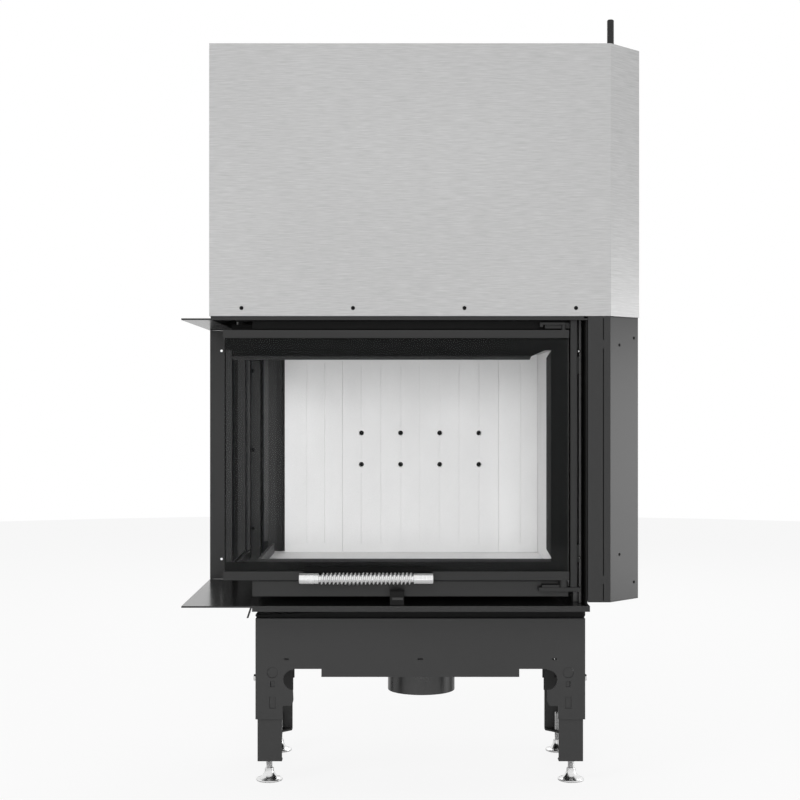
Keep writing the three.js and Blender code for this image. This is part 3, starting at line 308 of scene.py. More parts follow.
@dataclass(frozen=True)
class BareMetal:
    """Turned, rolled or plated metal with faint tool lines round or along it."""

    name: str
    grey: float
    roughness: float = 0.22
    lines: tuple[float, float, float] = (900.0, 60.0, 60.0)

    def material(self) -> bpy.types.Material:
        """Returns the material: tool lines and a few duller patches."""
        tree = Tree(self.name)
        marks = tree.noise(self.lines, 2.0)
        dull = tree.noise((28.0, 28.0, 28.0), 3.0)
        shade = tree.product(tree.spread(marks, 0.95, 1.05), tree.spread(dull, 0.95, 1.04))
        tree.wire("Base Color", tree.tint(tone(self.grey), shade))
        tree.wire("Roughness", tree.spread(dull, self.roughness - 0.04, self.roughness + 0.08))
        tree.set(Metallic=1.0)
        tree.bump(marks, 0.08, 0.03 * MM)
        return tree.material


@dataclass(frozen=True)
class FireCeramic:
    """Pressed pale refractory: soft mottling, fine pores and a chalky face."""

    name: str
    grey: float

    def material(self) -> bpy.types.Material:
        """Returns the material: mottled, with fine grain in height and pores darkened in colour as
        painted shade.
        """
        tree = Tree(self.name)
        mottle = tree.noise((11.0, 11.0, 6.0), 4.0)
        fine = tree.noise((420.0, 420.0, 420.0), 3.0)
        pores = tree.add("ShaderNodeTexVoronoi")
        pores.inputs["Scale"].default_value = 1.0
        tree.links.new(tree.place((260.0, 260.0, 260.0)), pores.inputs["Vector"])
        # The pores are darkened in colour only: painted shade in the pits.
        pore_shade = tree.remap(pores.outputs["Distance"], (0.05, 0.16, 0.93, 1.0))
        shade = tree.product(tree.spread(mottle, 0.965, 1.03), tree.spread(fine, 0.985, 1.015))
        shade = tree.product(shade, pore_shade)
        tree.wire("Base Color", tree.tint(tone(self.grey), shade))
        tree.set(Metallic=0.0, Roughness=0.92, Specular_IOR_Level=0.2)
        tree.bump(fine, 0.3, 0.12 * MM)
        return tree.material


@dataclass(frozen=True)
class ClearPane:
    """Ceramic glass, seen through with a faint cool tint and clear reflections."""

    name: str
    alpha: float = 0.05

    def material(self) -> bpy.types.Material:
        """Returns the material: nearly clear, with the faintest wipe marks in its gloss."""
        tree = Tree(self.name)
        wipes = tree.noise((5.0, 5.0, 3.0), 3.0)
        tree.shader.inputs["Base Color"].default_value = (0.02, 0.024, 0.024, 1.0)
        tree.wire("Roughness", tree.spread(wipes, 0.04, 0.06))
        tree.set(Alpha=self.alpha, Metallic=0.0, IOR=1.5)
        return tree.material


@dataclass(frozen=True)
class Rope:
    """Twisted glass-fibre seal."""

    name: str
    grey: float

    def material(self) -> bpy.types.Material:
        """Returns the material: slanting strands in colour and height."""
        tree = Tree(self.name)
        wave = tree.add("ShaderNodeTexWave", wave_type="BANDS", bands_direction="DIAGONAL")
        wave.inputs["Scale"].default_value = 1.0
        wave.inputs["Distortion"].default_value = 1.5
        tree.links.new(tree.place((260.0, 260.0, 260.0)), wave.inputs["Vector"])
        shade = tree.spread(wave.outputs["Fac"], 0.75, 1.15)
        tree.wire("Base Color", tree.tint(tone(self.grey), shade))
        tree.set(Roughness=0.95, Metallic=0.0)
        tree.bump(wave.outputs["Fac"], 0.5, 0.3 * MM)
        return tree.material


class Finish(Enum):
    """The finishes of the insert's pieces."""

    HOOD = BrushedSheet("brushed_hood_sheet", 185, contrast=0.11)
    BLACK = MattPaint("black_stove_paint", 38)
    # Deep black paint, also used for the strip in the column's groove, where it is painted shade.
    DEEP_BLACK = MattPaint("deep_black_paint", 24, 0.6, 0.15)
    JET = MattPaint("jet_black_paint", 12, 0.5, 0.1)
    PLATE = MattPaint("satin_black_plate", 28, 0.2, 0.42, 0.5 * MM)
    GRAPHITE = MattPaint("graphite_powder_coat", 55, 0.5, 0.25)
    BAR = MattPaint("door_bar_paint", 43, 0.5, 0.25)
    CASING = MattPaint("casing_powder_coat", 43, 0.3, 0.3, clouds=0.008)
    INNER = MattPaint("inner_steel_paint", 50, 0.45, 0.3)
    PRINT = GlassPrint("black_glass_print", 13)
    STAINLESS = BareMetal("polished_stainless", 236, 0.2)
    WIRE = BareMetal("stainless_wire", 228, 0.24, (300.0, 300.0, 300.0))
    ZINC = BareMetal("bright_zinc", 228, 0.22, (60.0, 60.0, 700.0))
    PIPE = BareMetal("coated_pipe", 84, 0.3, (60.0, 60.0, 30.0))
    RAIL = BareMetal("rolled_rail", 88, 0.35, (60.0, 60.0, 90.0))
    IRON = BareMetal("oiled_iron", 60, 0.45, (60.0, 60.0, 60.0))
    CERAMIC = FireCeramic("pale_fire_ceramic", 241)
    BAFFLE = FireCeramic("sandy_baffle_board", 190)
    GLASS = ClearPane("clear_ceramic_glass")
    SEAL = Rope("door_rope_seal", 60)


MATERIALS: dict[Finish, bpy.types.Material] = {}


def material_of(finish: Finish) -> bpy.types.Material:
    """Returns the material of a finish, made once."""
    if finish not in MATERIALS:
        MATERIALS[finish] = finish.value.material()
    return MATERIALS[finish]


# ---------------------------------------------------------------------------- mesh helpers


def facing(axis: Vector, place: Vector) -> Matrix:
    """Returns the matrix that turns +Z onto an axis and moves the origin to a place."""
    return Matrix.Translation(place) @ axis.to_track_quat("Z", "Y").to_matrix().to_4x4()


def add_box(bm: bmesh.types.BMesh, low: Vector, high: Vector) -> None:
    """Adds a box between two corners."""
    size = high - low
    matrix = Matrix.Translation((low + high) / 2) @ Matrix.Diagonal((*size, 1.0))
    bmesh.ops.create_cube(bm, size=1.0, matrix=matrix)


def add_disc(bm: bmesh.types.BMesh, place: Vector, axis: Vector, radius: float, height: float,
             top_radius: float | None = None, sides: int = 24) -> bmesh.types.BMFace:
    """Adds a closed cylinder or cone that stands on a place.

    Args:
        bm: the mesh.
        place: middle of its foot.
        axis: the way it stands.
        radius: at the foot.
        height: along the axis.
        top_radius: at the top, the same as the foot if None.
        sides: number of sides.

    Returns:
        Its top face.
    """
    made = bmesh.ops.create_cone(
        bm, cap_ends=True, segments=sides, radius1=radius,
        radius2=radius if top_radius is None else top_radius, depth=height,
        matrix=facing(axis, place + axis * height / 2))
    faces = {face for vert in made["verts"] for face in vert.link_faces}
    return max(faces, key=lambda face: face.calc_center_median().dot(axis))


def add_screw(bm: bmesh.types.BMesh, place: Vector, axis: Vector, radius: float,
              height: float | None = None) -> None:
    """Adds a button-head screw with a socket.

    Args:
        bm: the mesh.
        place: where the head meets its sheet.
        axis: the way the head faces.
        radius: of the head.
        height: of the head, 0.55 of the radius if None.
    """
    tall = radius * 0.55 if height is None else height
    add_disc(bm, place, axis, radius, tall * 0.45)
    top = add_disc(bm, place + axis * tall * 0.45, axis, radius, tall * 0.55, radius * 0.66)
    bmesh.ops.inset_region(bm, faces=[top], thickness=radius * 0.28, use_even_offset=True)
    well = bmesh.ops.extrude_discrete_faces(bm, faces=[top])["faces"]
    bmesh.ops.translate(bm, vec=-axis * tall * 0.5, verts=well[0].verts)


def add_hex(bm: bmesh.types.BMesh, place: Vector, axis: Vector, across: float,
            height: float) -> None:
    """Adds a hexagon nut or head with a chamfered top.

    Args:
        bm: the mesh.
        place: middle of its foot.
        axis: the way it stands.
        across: flats.
        height: along the axis.
    """
    corner = across / math.sqrt(3)
    add_disc(bm, place, axis, corner, height * 0.85, sides=6)
    add_disc(bm, place + axis * height * 0.85, axis, corner, height * 0.15, corner * 0.86, 6)


def spin_profile(bm: bmesh.types.BMesh, profile: list[tuple[float, float]], place: Vector,
                 axis: Vector, sides: int = 32) -> None:
    """Adds a solid of revolution.

    Args:
        bm: the mesh.
        profile: (radius, height) from the foot on the axis to the top on the axis.
        place: the foot's middle.
        axis: the axis.
        sides: steps of the full turn.
    """
    turned = bmesh.new()
    verts = [turned.verts.new((radius, 0.0, height)) for radius, height in profile]
    edges = [turned.edges.new(pair) for pair in zip(verts, verts[1:])]
    bmesh.ops.spin(turned, geom=verts + edges, cent=(0, 0, 0), axis=(0, 0, 1),
                   angle=2 * math.pi, steps=sides, use_merge=True)
    bmesh.ops.remove_doubles(turned, verts=turned.verts, dist=MERGE)
    bmesh.ops.recalc_face_normals(turned, faces=turned.faces)
    turned.transform(facing(axis, place))
    mesh = bpy.data.meshes.new("turned")
    turned.to_mesh(mesh)
    turned.free()
    bm.from_mesh(mesh)
    bpy.data.meshes.remove(mesh)


def add_prism(bm: bmesh.types.BMesh, outline: list[tuple[float, float]], front: float,
              back: float) -> None:
    """Adds a plate that lies across Y.

    Args:
        bm: the mesh.
        outline: its corners as (x, z), in mm of the working axes.
        front: its front face, in mm.
        back: its back face, in mm.
    """
    near = [bm.verts.new(at(x, front, z)) for x, z in outline]
    far = [bm.verts.new(at(x, back, z)) for x, z in outline]
    faces = [bm.faces.new(near), bm.faces.new(far[::-1])]
    for i, vert in enumerate(near):
        j = (i + 1) % len(near)
        faces.append(bm.faces.new((vert, far[i], far[j], near[j])))
    bmesh.ops.recalc_face_normals(bm, faces=faces)


def wind(bm: bmesh.types.BMesh, ring: Matrix, radius: float, sides: int, centre: Vector,
         length: float, turns: int, steps: int) -> None:
    """Winds an open wire round the X axis while it moves along.

    Args:
        bm: the mesh.
        ring: place of the wire's first ring.
        radius: of the wire.
        sides: of the wire.
        centre: a place on the axis.
        length: how far the wire moves along.
        turns: full turns, negative for the other way round.
        steps: to a turn.
    """
    first = bmesh.ops.create_circle(bm, cap_ends=False, segments=sides, radius=radius, matrix=ring)
    rim = list({edge for vert in first["verts"] for edge in vert.link_edges})
    count = abs(turns) * steps
    bmesh.ops.spin(bm, geom=first["verts"] + rim, cent=centre, axis=ALONG_X,
                   dvec=Vector((length / count, 0, 0)), angle=2 * math.pi * turns, steps=count)


def close_ends(bm: bmesh.types.BMesh) -> None:
    """Closes the open ends of wound wires and turns all faces outwards."""
    bmesh.ops.holes_fill(bm, edges=[edge for edge in bm.edges if edge.is_boundary], sides=0)
    bmesh.ops.recalc_face_normals(bm, faces=bm.faces)


def soften(bm: bmesh.types.BMesh, width: float, segments: int = 2, sharp: float = 30.0) -> None:
    """Rounds the edges of a mesh that are sharper than an angle.

    Args:
        bm: the mesh.
        width: of the rounding.
        segments: faces across it.
        sharp: least angle between the faces, in degrees.
    """
    limit = math.radians(sharp)
    edges = [edge for edge in bm.edges if len(edge.link_faces) == 2
             and edge.calc_face_angle(0.0) > limit]
    bmesh.ops.bevel(bm, geom=edges, offset=width, affect="EDGES", segments=segments, profile=0.5,
                    material=-1, clamp_overlap=True)


def shade(mesh: bpy.types.Mesh, sharp: float = 35.0) -> None:
    """Shades a mesh smooth, apart from edges sharper than an angle."""
    mesh.shade_smooth()
    mesh.set_sharp_from_angle(angle=math.radians(sharp))


class Assembly:
    """A sub-assembly: makes its pieces, gives them their finish and lets them ride."""

    body_by_node: dict[str, str] = {}
    nodes: dict[str, bpy.types.Object] = {}
    slot_by_node: dict[str, str] = {}

    @classmethod
    def use(cls, frame: dict) -> None:
        """Keeps the frame's nodes, their bodies and their material slots."""
        record = frame["record"]
        cls.nodes = frame["nodes"]
        cls.body_by_node = {node: body for body, names in record["behaviour"]["bodies"].items()
                            for node in names}
        cls.slot_by_node = {part["node"]: part["material_slot"] for part in record["subparts"]}

    def dress(self, node: str, finish: Finish) -> None:
        """Gives a node of the frame its finish."""
        mesh = self.nodes[node].data
        mesh.materials.clear()
        mesh.materials.append(material_of(finish))
        LOG.info("dressed %s as %s", node, finish.value.name)

    def piece(self, name: str, bm: bmesh.types.BMesh, finish: Finish, node: str,
              stands_for: tuple[str, ...] = (), sharp: float = 35.0,
              span: tuple[str, str, Vector, Vector] | None = None) -> bpy.types.Object:
        """Makes an object of a mesh, which rides with a node's body.

        Args:
            name: of the piece.
            bm: its mesh, freed here.
            finish: its finish.
            node: the node whose body it takes.
            stands_for: nodes that it replaces.
            sharp: edges over this angle stay sharp.
            span: for a piece that stretches between two bodies, them and its two ends.

        Returns:
            The new object.
        """
        mesh = bpy.data.meshes.new(name)
        bm.to_mesh(mesh)
        bm.free()
        mesh.materials.append(material_of(finish))
        shade(mesh, sharp)
        obj = bpy.data.objects.new(name, mesh)
        bpy.context.scene.collection.objects.link(obj)
        if span:
            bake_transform(obj)
        else:
            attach(obj, self.body_by_node[node])
        even = obj.modifiers.new("even_faces", "WEIGHTED_NORMAL")
        even.keep_sharp, even.weight = True, 100
        if stands_for:
            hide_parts(*stands_for)
        LOG.info("made %s with %d faces", name, len(mesh.polygons))
        return obj

    def rounded(self, node: str, finish: Finish, width: float, segments: int = 2,
                sharp: float = 30.0,
                edit: Callable[[bmesh.types.BMesh], None] | None = None) -> bpy.types.Object:
        """Replaces a node by a copy with softly rounded edges.

        Args:
            node: the node.
            finish: of the copy.
            width: of the rounding.
            segments: faces across it.
            sharp: least angle that is rounded, in degrees.
            edit: what is changed on the copy before its edges are rounded.

        Returns:
            The copy.
        """
        bm = bmesh.new()
        bm.from_mesh(self.nodes[node].data)
        bmesh.ops.remove_doubles(bm, verts=bm.verts, dist=MERGE)
        bmesh.ops.dissolve_limit(bm, angle_limit=math.radians(0.5), verts=bm.verts, edges=bm.edges)
        if edit:
            edit(bm)
        soften(bm, width, segments, sharp)
        return self.piece(f"{node}_sheet", bm, finish, node, (node,))


# ---------------------------------------------------------------------------- sub-assemblies


@dataclass
class BaseFrame(Assembly):
    """Apron panels and rails with their upper legs, the air inlet spigot and their fixings."""

    edge: float = 0.7 * MM
    bolt_across: float = 10 * MM
    bolt_height: float = 4.5 * MM
    bolt_washer: float = 1.2 * MM
    bolt_rise: float = 183 * MM
    bolt_inset: float = 22 * MM
    rivet_ring: float = 69 * MM
    rivets: int = 6
    leg_inside: float = 242.3 * MM  # of the rear legs, from the middle
    ear_top: float = 184 * MM
    clamp_inset: float = 30 * MM  # from the panel's end
    clamp_height: float = 196 * MM
    clamp_radius: float = 9.6 * MM
    clamp_thick: float = 1.3 * MM
    clamp_depth: float = 2.9 * MM  # of the plates' backs under the sheet's face
    backings: tuple[tuple[float, float, float, float], ...] = (  # width, height, shift, middle
        (6.4, 10.3, -0.7, 175.75), (10.8, 20.2, 0.0, 142.6))

    def build(self) -> None:
        """Rounds the sheet metal and adds the bolts that hold it together."""
        for node in ("base_front_panel", "base_left_rail", "base_right_rail"):
            self.rounded(node, Finish.GRAPHITE, self.edge)
        self.rounded("base_rear_panel", Finish.GRAPHITE, self.edge, edit=self.slim_ears)
        self.rounded("air_inlet_spigot", Finish.PIPE, 0.5 * MM)
        self.clamp_plates()
        self.side_bolts()
        self.spigot_rivets()

    def slim_ears(self, bm: bmesh.types.BMesh) -> None:
        """Draws the ears of the rear panel back to its legs."""
        low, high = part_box("base_rear_panel")
        middle = (low.x + high.x) / 2
        for vert in bm.verts:
            reach = abs(vert.co.x - middle)
            if vert.co.z < self.ear_top and reach < self.leg_inside:
                vert.co.x = middle + math.copysign(self.leg_inside, vert.co.x - middle)
        bmesh.ops.remove_doubles(bm, verts=bm.verts, dist=2e-6)
        bmesh.ops.dissolve_degenerate(bm, edges=bm.edges, dist=MERGE)
        bmesh.ops.recalc_face_normals(bm, faces=bm.faces)

    def clamp_plates(self) -> None:
        """Adds the clamp plates that show, a little sunk, in the openings of the upper legs."""
        bm = bmesh.new()
        for node, out in (("base_front_panel", -ALONG_Y), ("base_rear_panel", ALONG_Y),
                          ("base_left_rail", -ALONG_X), ("base_right_rail", ALONG_X)):
            low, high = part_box(node)
            side = Vector((abs(out.y), abs(out.x), 0.0))
            middle = (low + high) / 2
            half = (high - low).dot(side) / 2 - self.clamp_inset
            sheet = (high if out.x + out.y > 0 else low).dot(out)
            for end in (-1, 1):
                foot = Vector((middle.x, middle.y, 0.0)) + side * end * half
                foot += out * (sheet - self.clamp_depth - foot.dot(out))
                add_disc(bm, foot + UP * self.clamp_height, out, self.clamp_radius,
                         self.clamp_thick, sides=32)
                for wide, tall, shift, height in self.backings:
                    core = foot + UP * height * MM + side * end * shift * MM
                    reach = side * wide * MM / 2 + UP * tall * MM / 2
                    corners = [core - reach, core + reach + out * self.clamp_thick]
                    add_box(bm, Vector(map(min, *corners)), Vector(map(max, *corners)))
        soften(bm, 0.3 * MM, 1)
        self.piece("leg_clamp_plates", bm, Finish.GRAPHITE, "base_front_panel")

    def side_bolts(self) -> None:
        """Adds the bolt heads that hold each lower leg inside its upper leg."""
        bm = bmesh.new()
        for side, node in ((-1, "base_left_rail"), (1, "base_right_rail")):
            low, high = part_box(node)
            face = low.x if side < 0 else high.x
            for y in (low.y + self.bolt_inset, high.y - self.bolt_inset):
                add_disc(bm, Vector((face, y, self.bolt_rise)), ALONG_X * side,
                         self.bolt_across * 0.75, self.bolt_washer)
                add_hex(bm, Vector((face + side * self.bolt_washer, y, self.bolt_rise)),
                        ALONG_X * side, self.bolt_across, self.bolt_height)
        self.piece("base_side_bolts", bm, Finish.ZINC, "base_left_rail")

    def spigot_rivets(self) -> None:
        """Adds the blind rivets that hold the spigot's flange under the air box."""
        bm = bmesh.new()
        low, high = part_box("air_inlet_spigot")
        centre = Vector(((low.x + high.x) / 2, (low.y + high.y) / 2, high.z - 3 * MM))
        for step in range(self.rivets):
            angle = 2 * math.pi * step / self.rivets
            ray = Vector((math.cos(angle), math.sin(angle), 0.0))
            add_screw(bm, centre + ray * self.rivet_ring, -UP, 3.2 * MM)
        self.piece("spigot_rivets", bm, Finish.ZINC, "air_inlet_spigot")


@dataclass
class Legs(Assembly):
    """Four lower legs, each on a threaded levelling foot."""

    foot_radius: float = 23.5 * MM
    neck_radius: float = 8 * MM
    stem_radius: float = 6 * MM
    stem_foot: float = 22 * MM
    stem_top: float = 75 * MM
    pitch: float = 1.75 * MM
    corner_names: tuple[str, ...] = ("front_left", "front_right", "rear_right", "rear_left")

    def build(self) -> None:
        """Rounds each leg and turns its foot."""
        for corner in self.corner_names:
            self.rounded(f"lower_leg_{corner}", Finish.GRAPHITE, 0.6 * MM)
            self.foot(f"foot_{corner}")

    def foot(self, node: str) -> None:
        """Turns a foot: disc with a rolled edge, cone, neck and threaded stem.

        Args:
            node: the foot that it replaces.
        """
        low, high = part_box(node)
        centre = Vector(((low.x + high.x) / 2, (low.y + high.y) / 2, 0.0))
        disc, neck, stem = self.foot_radius, self.neck_radius, self.stem_radius
        profile = [(0.0, 0.0), (disc - 1.6 * MM, 0.0), (disc - 0.5 * MM, 0.5 * MM),
                   (disc, 1.6 * MM), (disc - 0.1 * MM, 2.8 * MM), (disc - 1.0 * MM, 3.7 * MM),
                   (disc - 3.0 * MM, 4.3 * MM), (disc - 8 * MM, 5.8 * MM),
                   (neck + 4 * MM, 9.5 * MM), (neck + 1.6 * MM, 13.0 * MM),
                   (neck, 16.5 * MM), (neck, 21.2 * MM), (neck - 0.6 * MM, self.stem_foot),
                   (stem - 0.7 * MM, self.stem_foot)]
        z = self.stem_foot + 0.6 * MM
        while z + self.pitch < self.stem_top - 1.5 * MM:
            profile += [(stem - 0.75 * MM, z), (stem - 0.02 * MM, z + self.pitch * 0.45),
                        (stem - 0.02 * MM, z + self.pitch * 0.6)]
            z += self.pitch
        profile += [(stem - 0.75 * MM, z), (stem - 1.3 * MM, self.stem_top), (0.0, self.stem_top)]
        bm = bmesh.new()
        spin_profile(bm, profile, centre, UP, 40)
        self.piece(f"{node}_turned", bm, Finish.ZINC, node, (node,), 50.0)


@dataclass
class AirSupply(Assembly):
    """Air box under the fire and the lever that opens it."""

    knob_front: float = 5.0
    knob_pieces: tuple[tuple[str, Finish, float, float, float, float], ...] = (
        # The raised rib's lighter paint is a painted highlight, the light line across the grip.
        ("air_lever_highlight_rib", Finish.GRAPHITE, -53.5, -34.3, 331.0, 4.3),  # left, right, foot, height
        ("air_lever_stop", Finish.JET, -56.0, -33.5, 345.8, 2.6))

    def build(self) -> None:
        """Rounds the box and the lever, and ribs the lever's grip; the rib's lighter paint is a
        painted highlight.
        """
        self.rounded("air_box", Finish.DEEP_BLACK, 0.5 * MM)
        self.rounded("air_lever", Finish.DEEP_BLACK, 0.5 * MM)
        for name, finish, left, right, foot, tall in self.knob_pieces:
            bm = bmesh.new()
            add_box(bm, at(left, self.knob_front - 0.4, foot),
                    at(right, self.knob_front + 0.1, foot + tall))
            soften(bm, 0.15 * MM)
            self.piece(name, bm, finish, "air_lever")


@dataclass
class Platforms(Assembly):
    """Bottom plate and top frame between which the firebox stands, and the column behind."""

    screw_x: float = -335.0
    screw_heights: tuple[float, ...] = (738.2, 579.7, 422.1)
    head_radius: float = 3.6 * MM
    head_height: float = 2.2 * MM
    shade_strip_low: tuple[float, float, float] = (-376.2, 402.6, 322.5)
    shade_strip_high: tuple[float, float, float] = (-364.9, 403.9, 817.8)

    def build(self) -> None:
        """Rounds the plates and the column, adds the deep black strip in the column's groove as
        painted shade, and adds the screws.
        """
        self.rounded("bottom_plate", Finish.PLATE, 0.6 * MM)
        self.rounded("top_frame", Finish.PLATE, 0.6 * MM)
        self.rounded("left_rear_column", Finish.CASING, 0.25 * MM)
        # A deep black strip on the floor of the column's groove: painted shade that darkens the
        # groove.
        bm = bmesh.new()
        add_box(bm, at(*self.shade_strip_low), at(*self.shade_strip_high))
        soften(bm, 0.2 * MM)
        self.piece("column_groove_shade_strip", bm, Finish.DEEP_BLACK, "left_rear_column")
        self.column_screws()

    def column_screws(self) -> None:
        """Adds the screws down the column's inner panel."""
        bm = bmesh.new()
        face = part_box("left_rear_column")[0].y
        for height in self.screw_heights:
            place = at(self.screw_x, 0, height)
            place.y = face
            add_screw(bm, place, -ALONG_Y, self.head_radius, self.head_height)
        self.piece("column_screws", bm, Finish.JET, "left_rear_column")


@dataclass
class Firebox(Assembly):
    """Steel shell, ceramic linings, baffle and the frame round the opening."""

    lining_edge: float = 1.2 * MM
    frame_back: float = 44.3
    frame_thick: float = 3.0
    frame_ends: tuple[float, ...] = (-337.0, 257.0, 813.2, 349.4)  # left, right, head, foot
    strip_gap: float = 0.1
    strip_thick: float = 2.0
    cut_clear: float = 0.15  # of the cut behind the flat front
    fold_end: float = 190.0
    fold_top: float = 765 * MM

    def build(self) -> None:
        """Rounds the shell, softens the linings' edges and makes the frame's front."""
        self.rounded("firebox_shell", Finish.INNER, 0.6 * MM)
        for node in ("lining_back_left", "lining_back_centre", "lining_back_right"):
            self.rounded(node, Finish.CERAMIC, 0.35 * MM, 2)
        for node in ("lining_right", "lining_floor"):
            self.rounded(node, Finish.CERAMIC, self.lining_edge, 3)
        self.rounded("baffle_plate", Finish.BAFFLE, self.lining_edge, 3)
        self.rounded("lining_clip_strip", Finish.IRON, 0.4 * MM)
        self.rounded("log_retainer", Finish.GRAPHITE, 0.5 * MM)
        self.rounded("opening_frame", Finish.DEEP_BLACK, 0.5 * MM, edit=self.drop_front)
        self.frame_front()

    def drop_front(self, bm: bmesh.types.BMesh) -> None:
        """Cuts the flat front off the opening frame and shortens the lower of its folds."""
        bmesh.ops.bisect_plane(
            bm, geom=bm.verts[:] + bm.edges[:] + bm.faces[:], clear_inner=True, dist=1e-7,
            plane_co=at(0, self.frame_back + self.cut_clear, 0), plane_no=(0, 1, 0))
        end = at(self.fold_end, 0, 0).x
        for vert in bm.verts:
            if vert.co.x > end and vert.co.z < self.fold_top:
                vert.co.x = end

    def frame_front(self) -> None:
        """Makes the frame's front: lintel, the strip that hangs behind it, and the jamb."""
        left, right, head, foot = self.frame_ends
        back, behind = self.frame_back, self.frame_back + self.strip_gap
        near = back - self.frame_thick
        lintel = [(left, head), (left, 757.2), (192.7, 757.2), (219.4, 768.8), (238.0, 777.5),
                  (right, 777.5), (right, head)]
        jamb = [(219.4, 754.4), (229.5, 770.0), (238.0, 777.3), (right, 777.3), (right, foot),
                (209.8, foot), (209.8, 399.0), (229.3, 399.0), (219.4, 416.1)]
        strip = [(left + 0.2, 758.0), (left + 0.2, 751.2), (190.5, 751.2), (193.0, 758.0)]
        for name, finish, outline, front, rear in (
                ("opening_lintel", Finish.JET, lintel, near, back),
                ("opening_jamb", Finish.GRAPHITE, jamb, near, back),
                ("lintel_strip", Finish.BLACK, strip, behind, behind + self.strip_thick)):
            bm = bmesh.new()
            add_prism(bm, outline, front, rear)
            soften(bm, 0.4 * MM)
            self.piece(name, bm, finish, "opening_frame")


@dataclass
class FrontTrim(Assembly):
    """Panels under and over the door."""

    def build(self) -> None:
        """Rounds the two panels."""
        self.rounded("front_lower_panel", Finish.CASING, 0.5 * MM)
        self.rounded("front_upper_panel", Finish.DEEP_BLACK, 0.5 * MM)


@dataclass
class Hood(Assembly):
    """Brushed hood with its screws, the rear panel, and the smoke dome and collar inside."""

    screw_left: float = -315.7
    screw_pitch: float = 194.2
    screws: int = 4
    screw_height: float = 840.2
    head_radius: float = 3.5 * MM
    head_height: float = 1.9 * MM

    def build(self) -> None:
        """Rounds the sheets and adds the screws along the hood's lower edge."""
        self.rounded("hood_casing", Finish.HOOD, 0.9 * MM, 3)
        self.rounded("rear_panel", Finish.CASING, 0.5 * MM)
        self.rounded("smoke_dome", Finish.DEEP_BLACK, 0.6 * MM)
        self.rounded("flue_collar", Finish.DEEP_BLACK, 0.6 * MM, sharp=50.0)
        bm = bmesh.new()
        for step in range(self.screws):
            place = at(self.screw_left + step * self.screw_pitch, 0, self.screw_height)
            add_screw(bm, place, -ALONG_Y, self.head_radius, self.head_height)
        self.piece("hood_screws", bm, Finish.JET, "hood_casing")


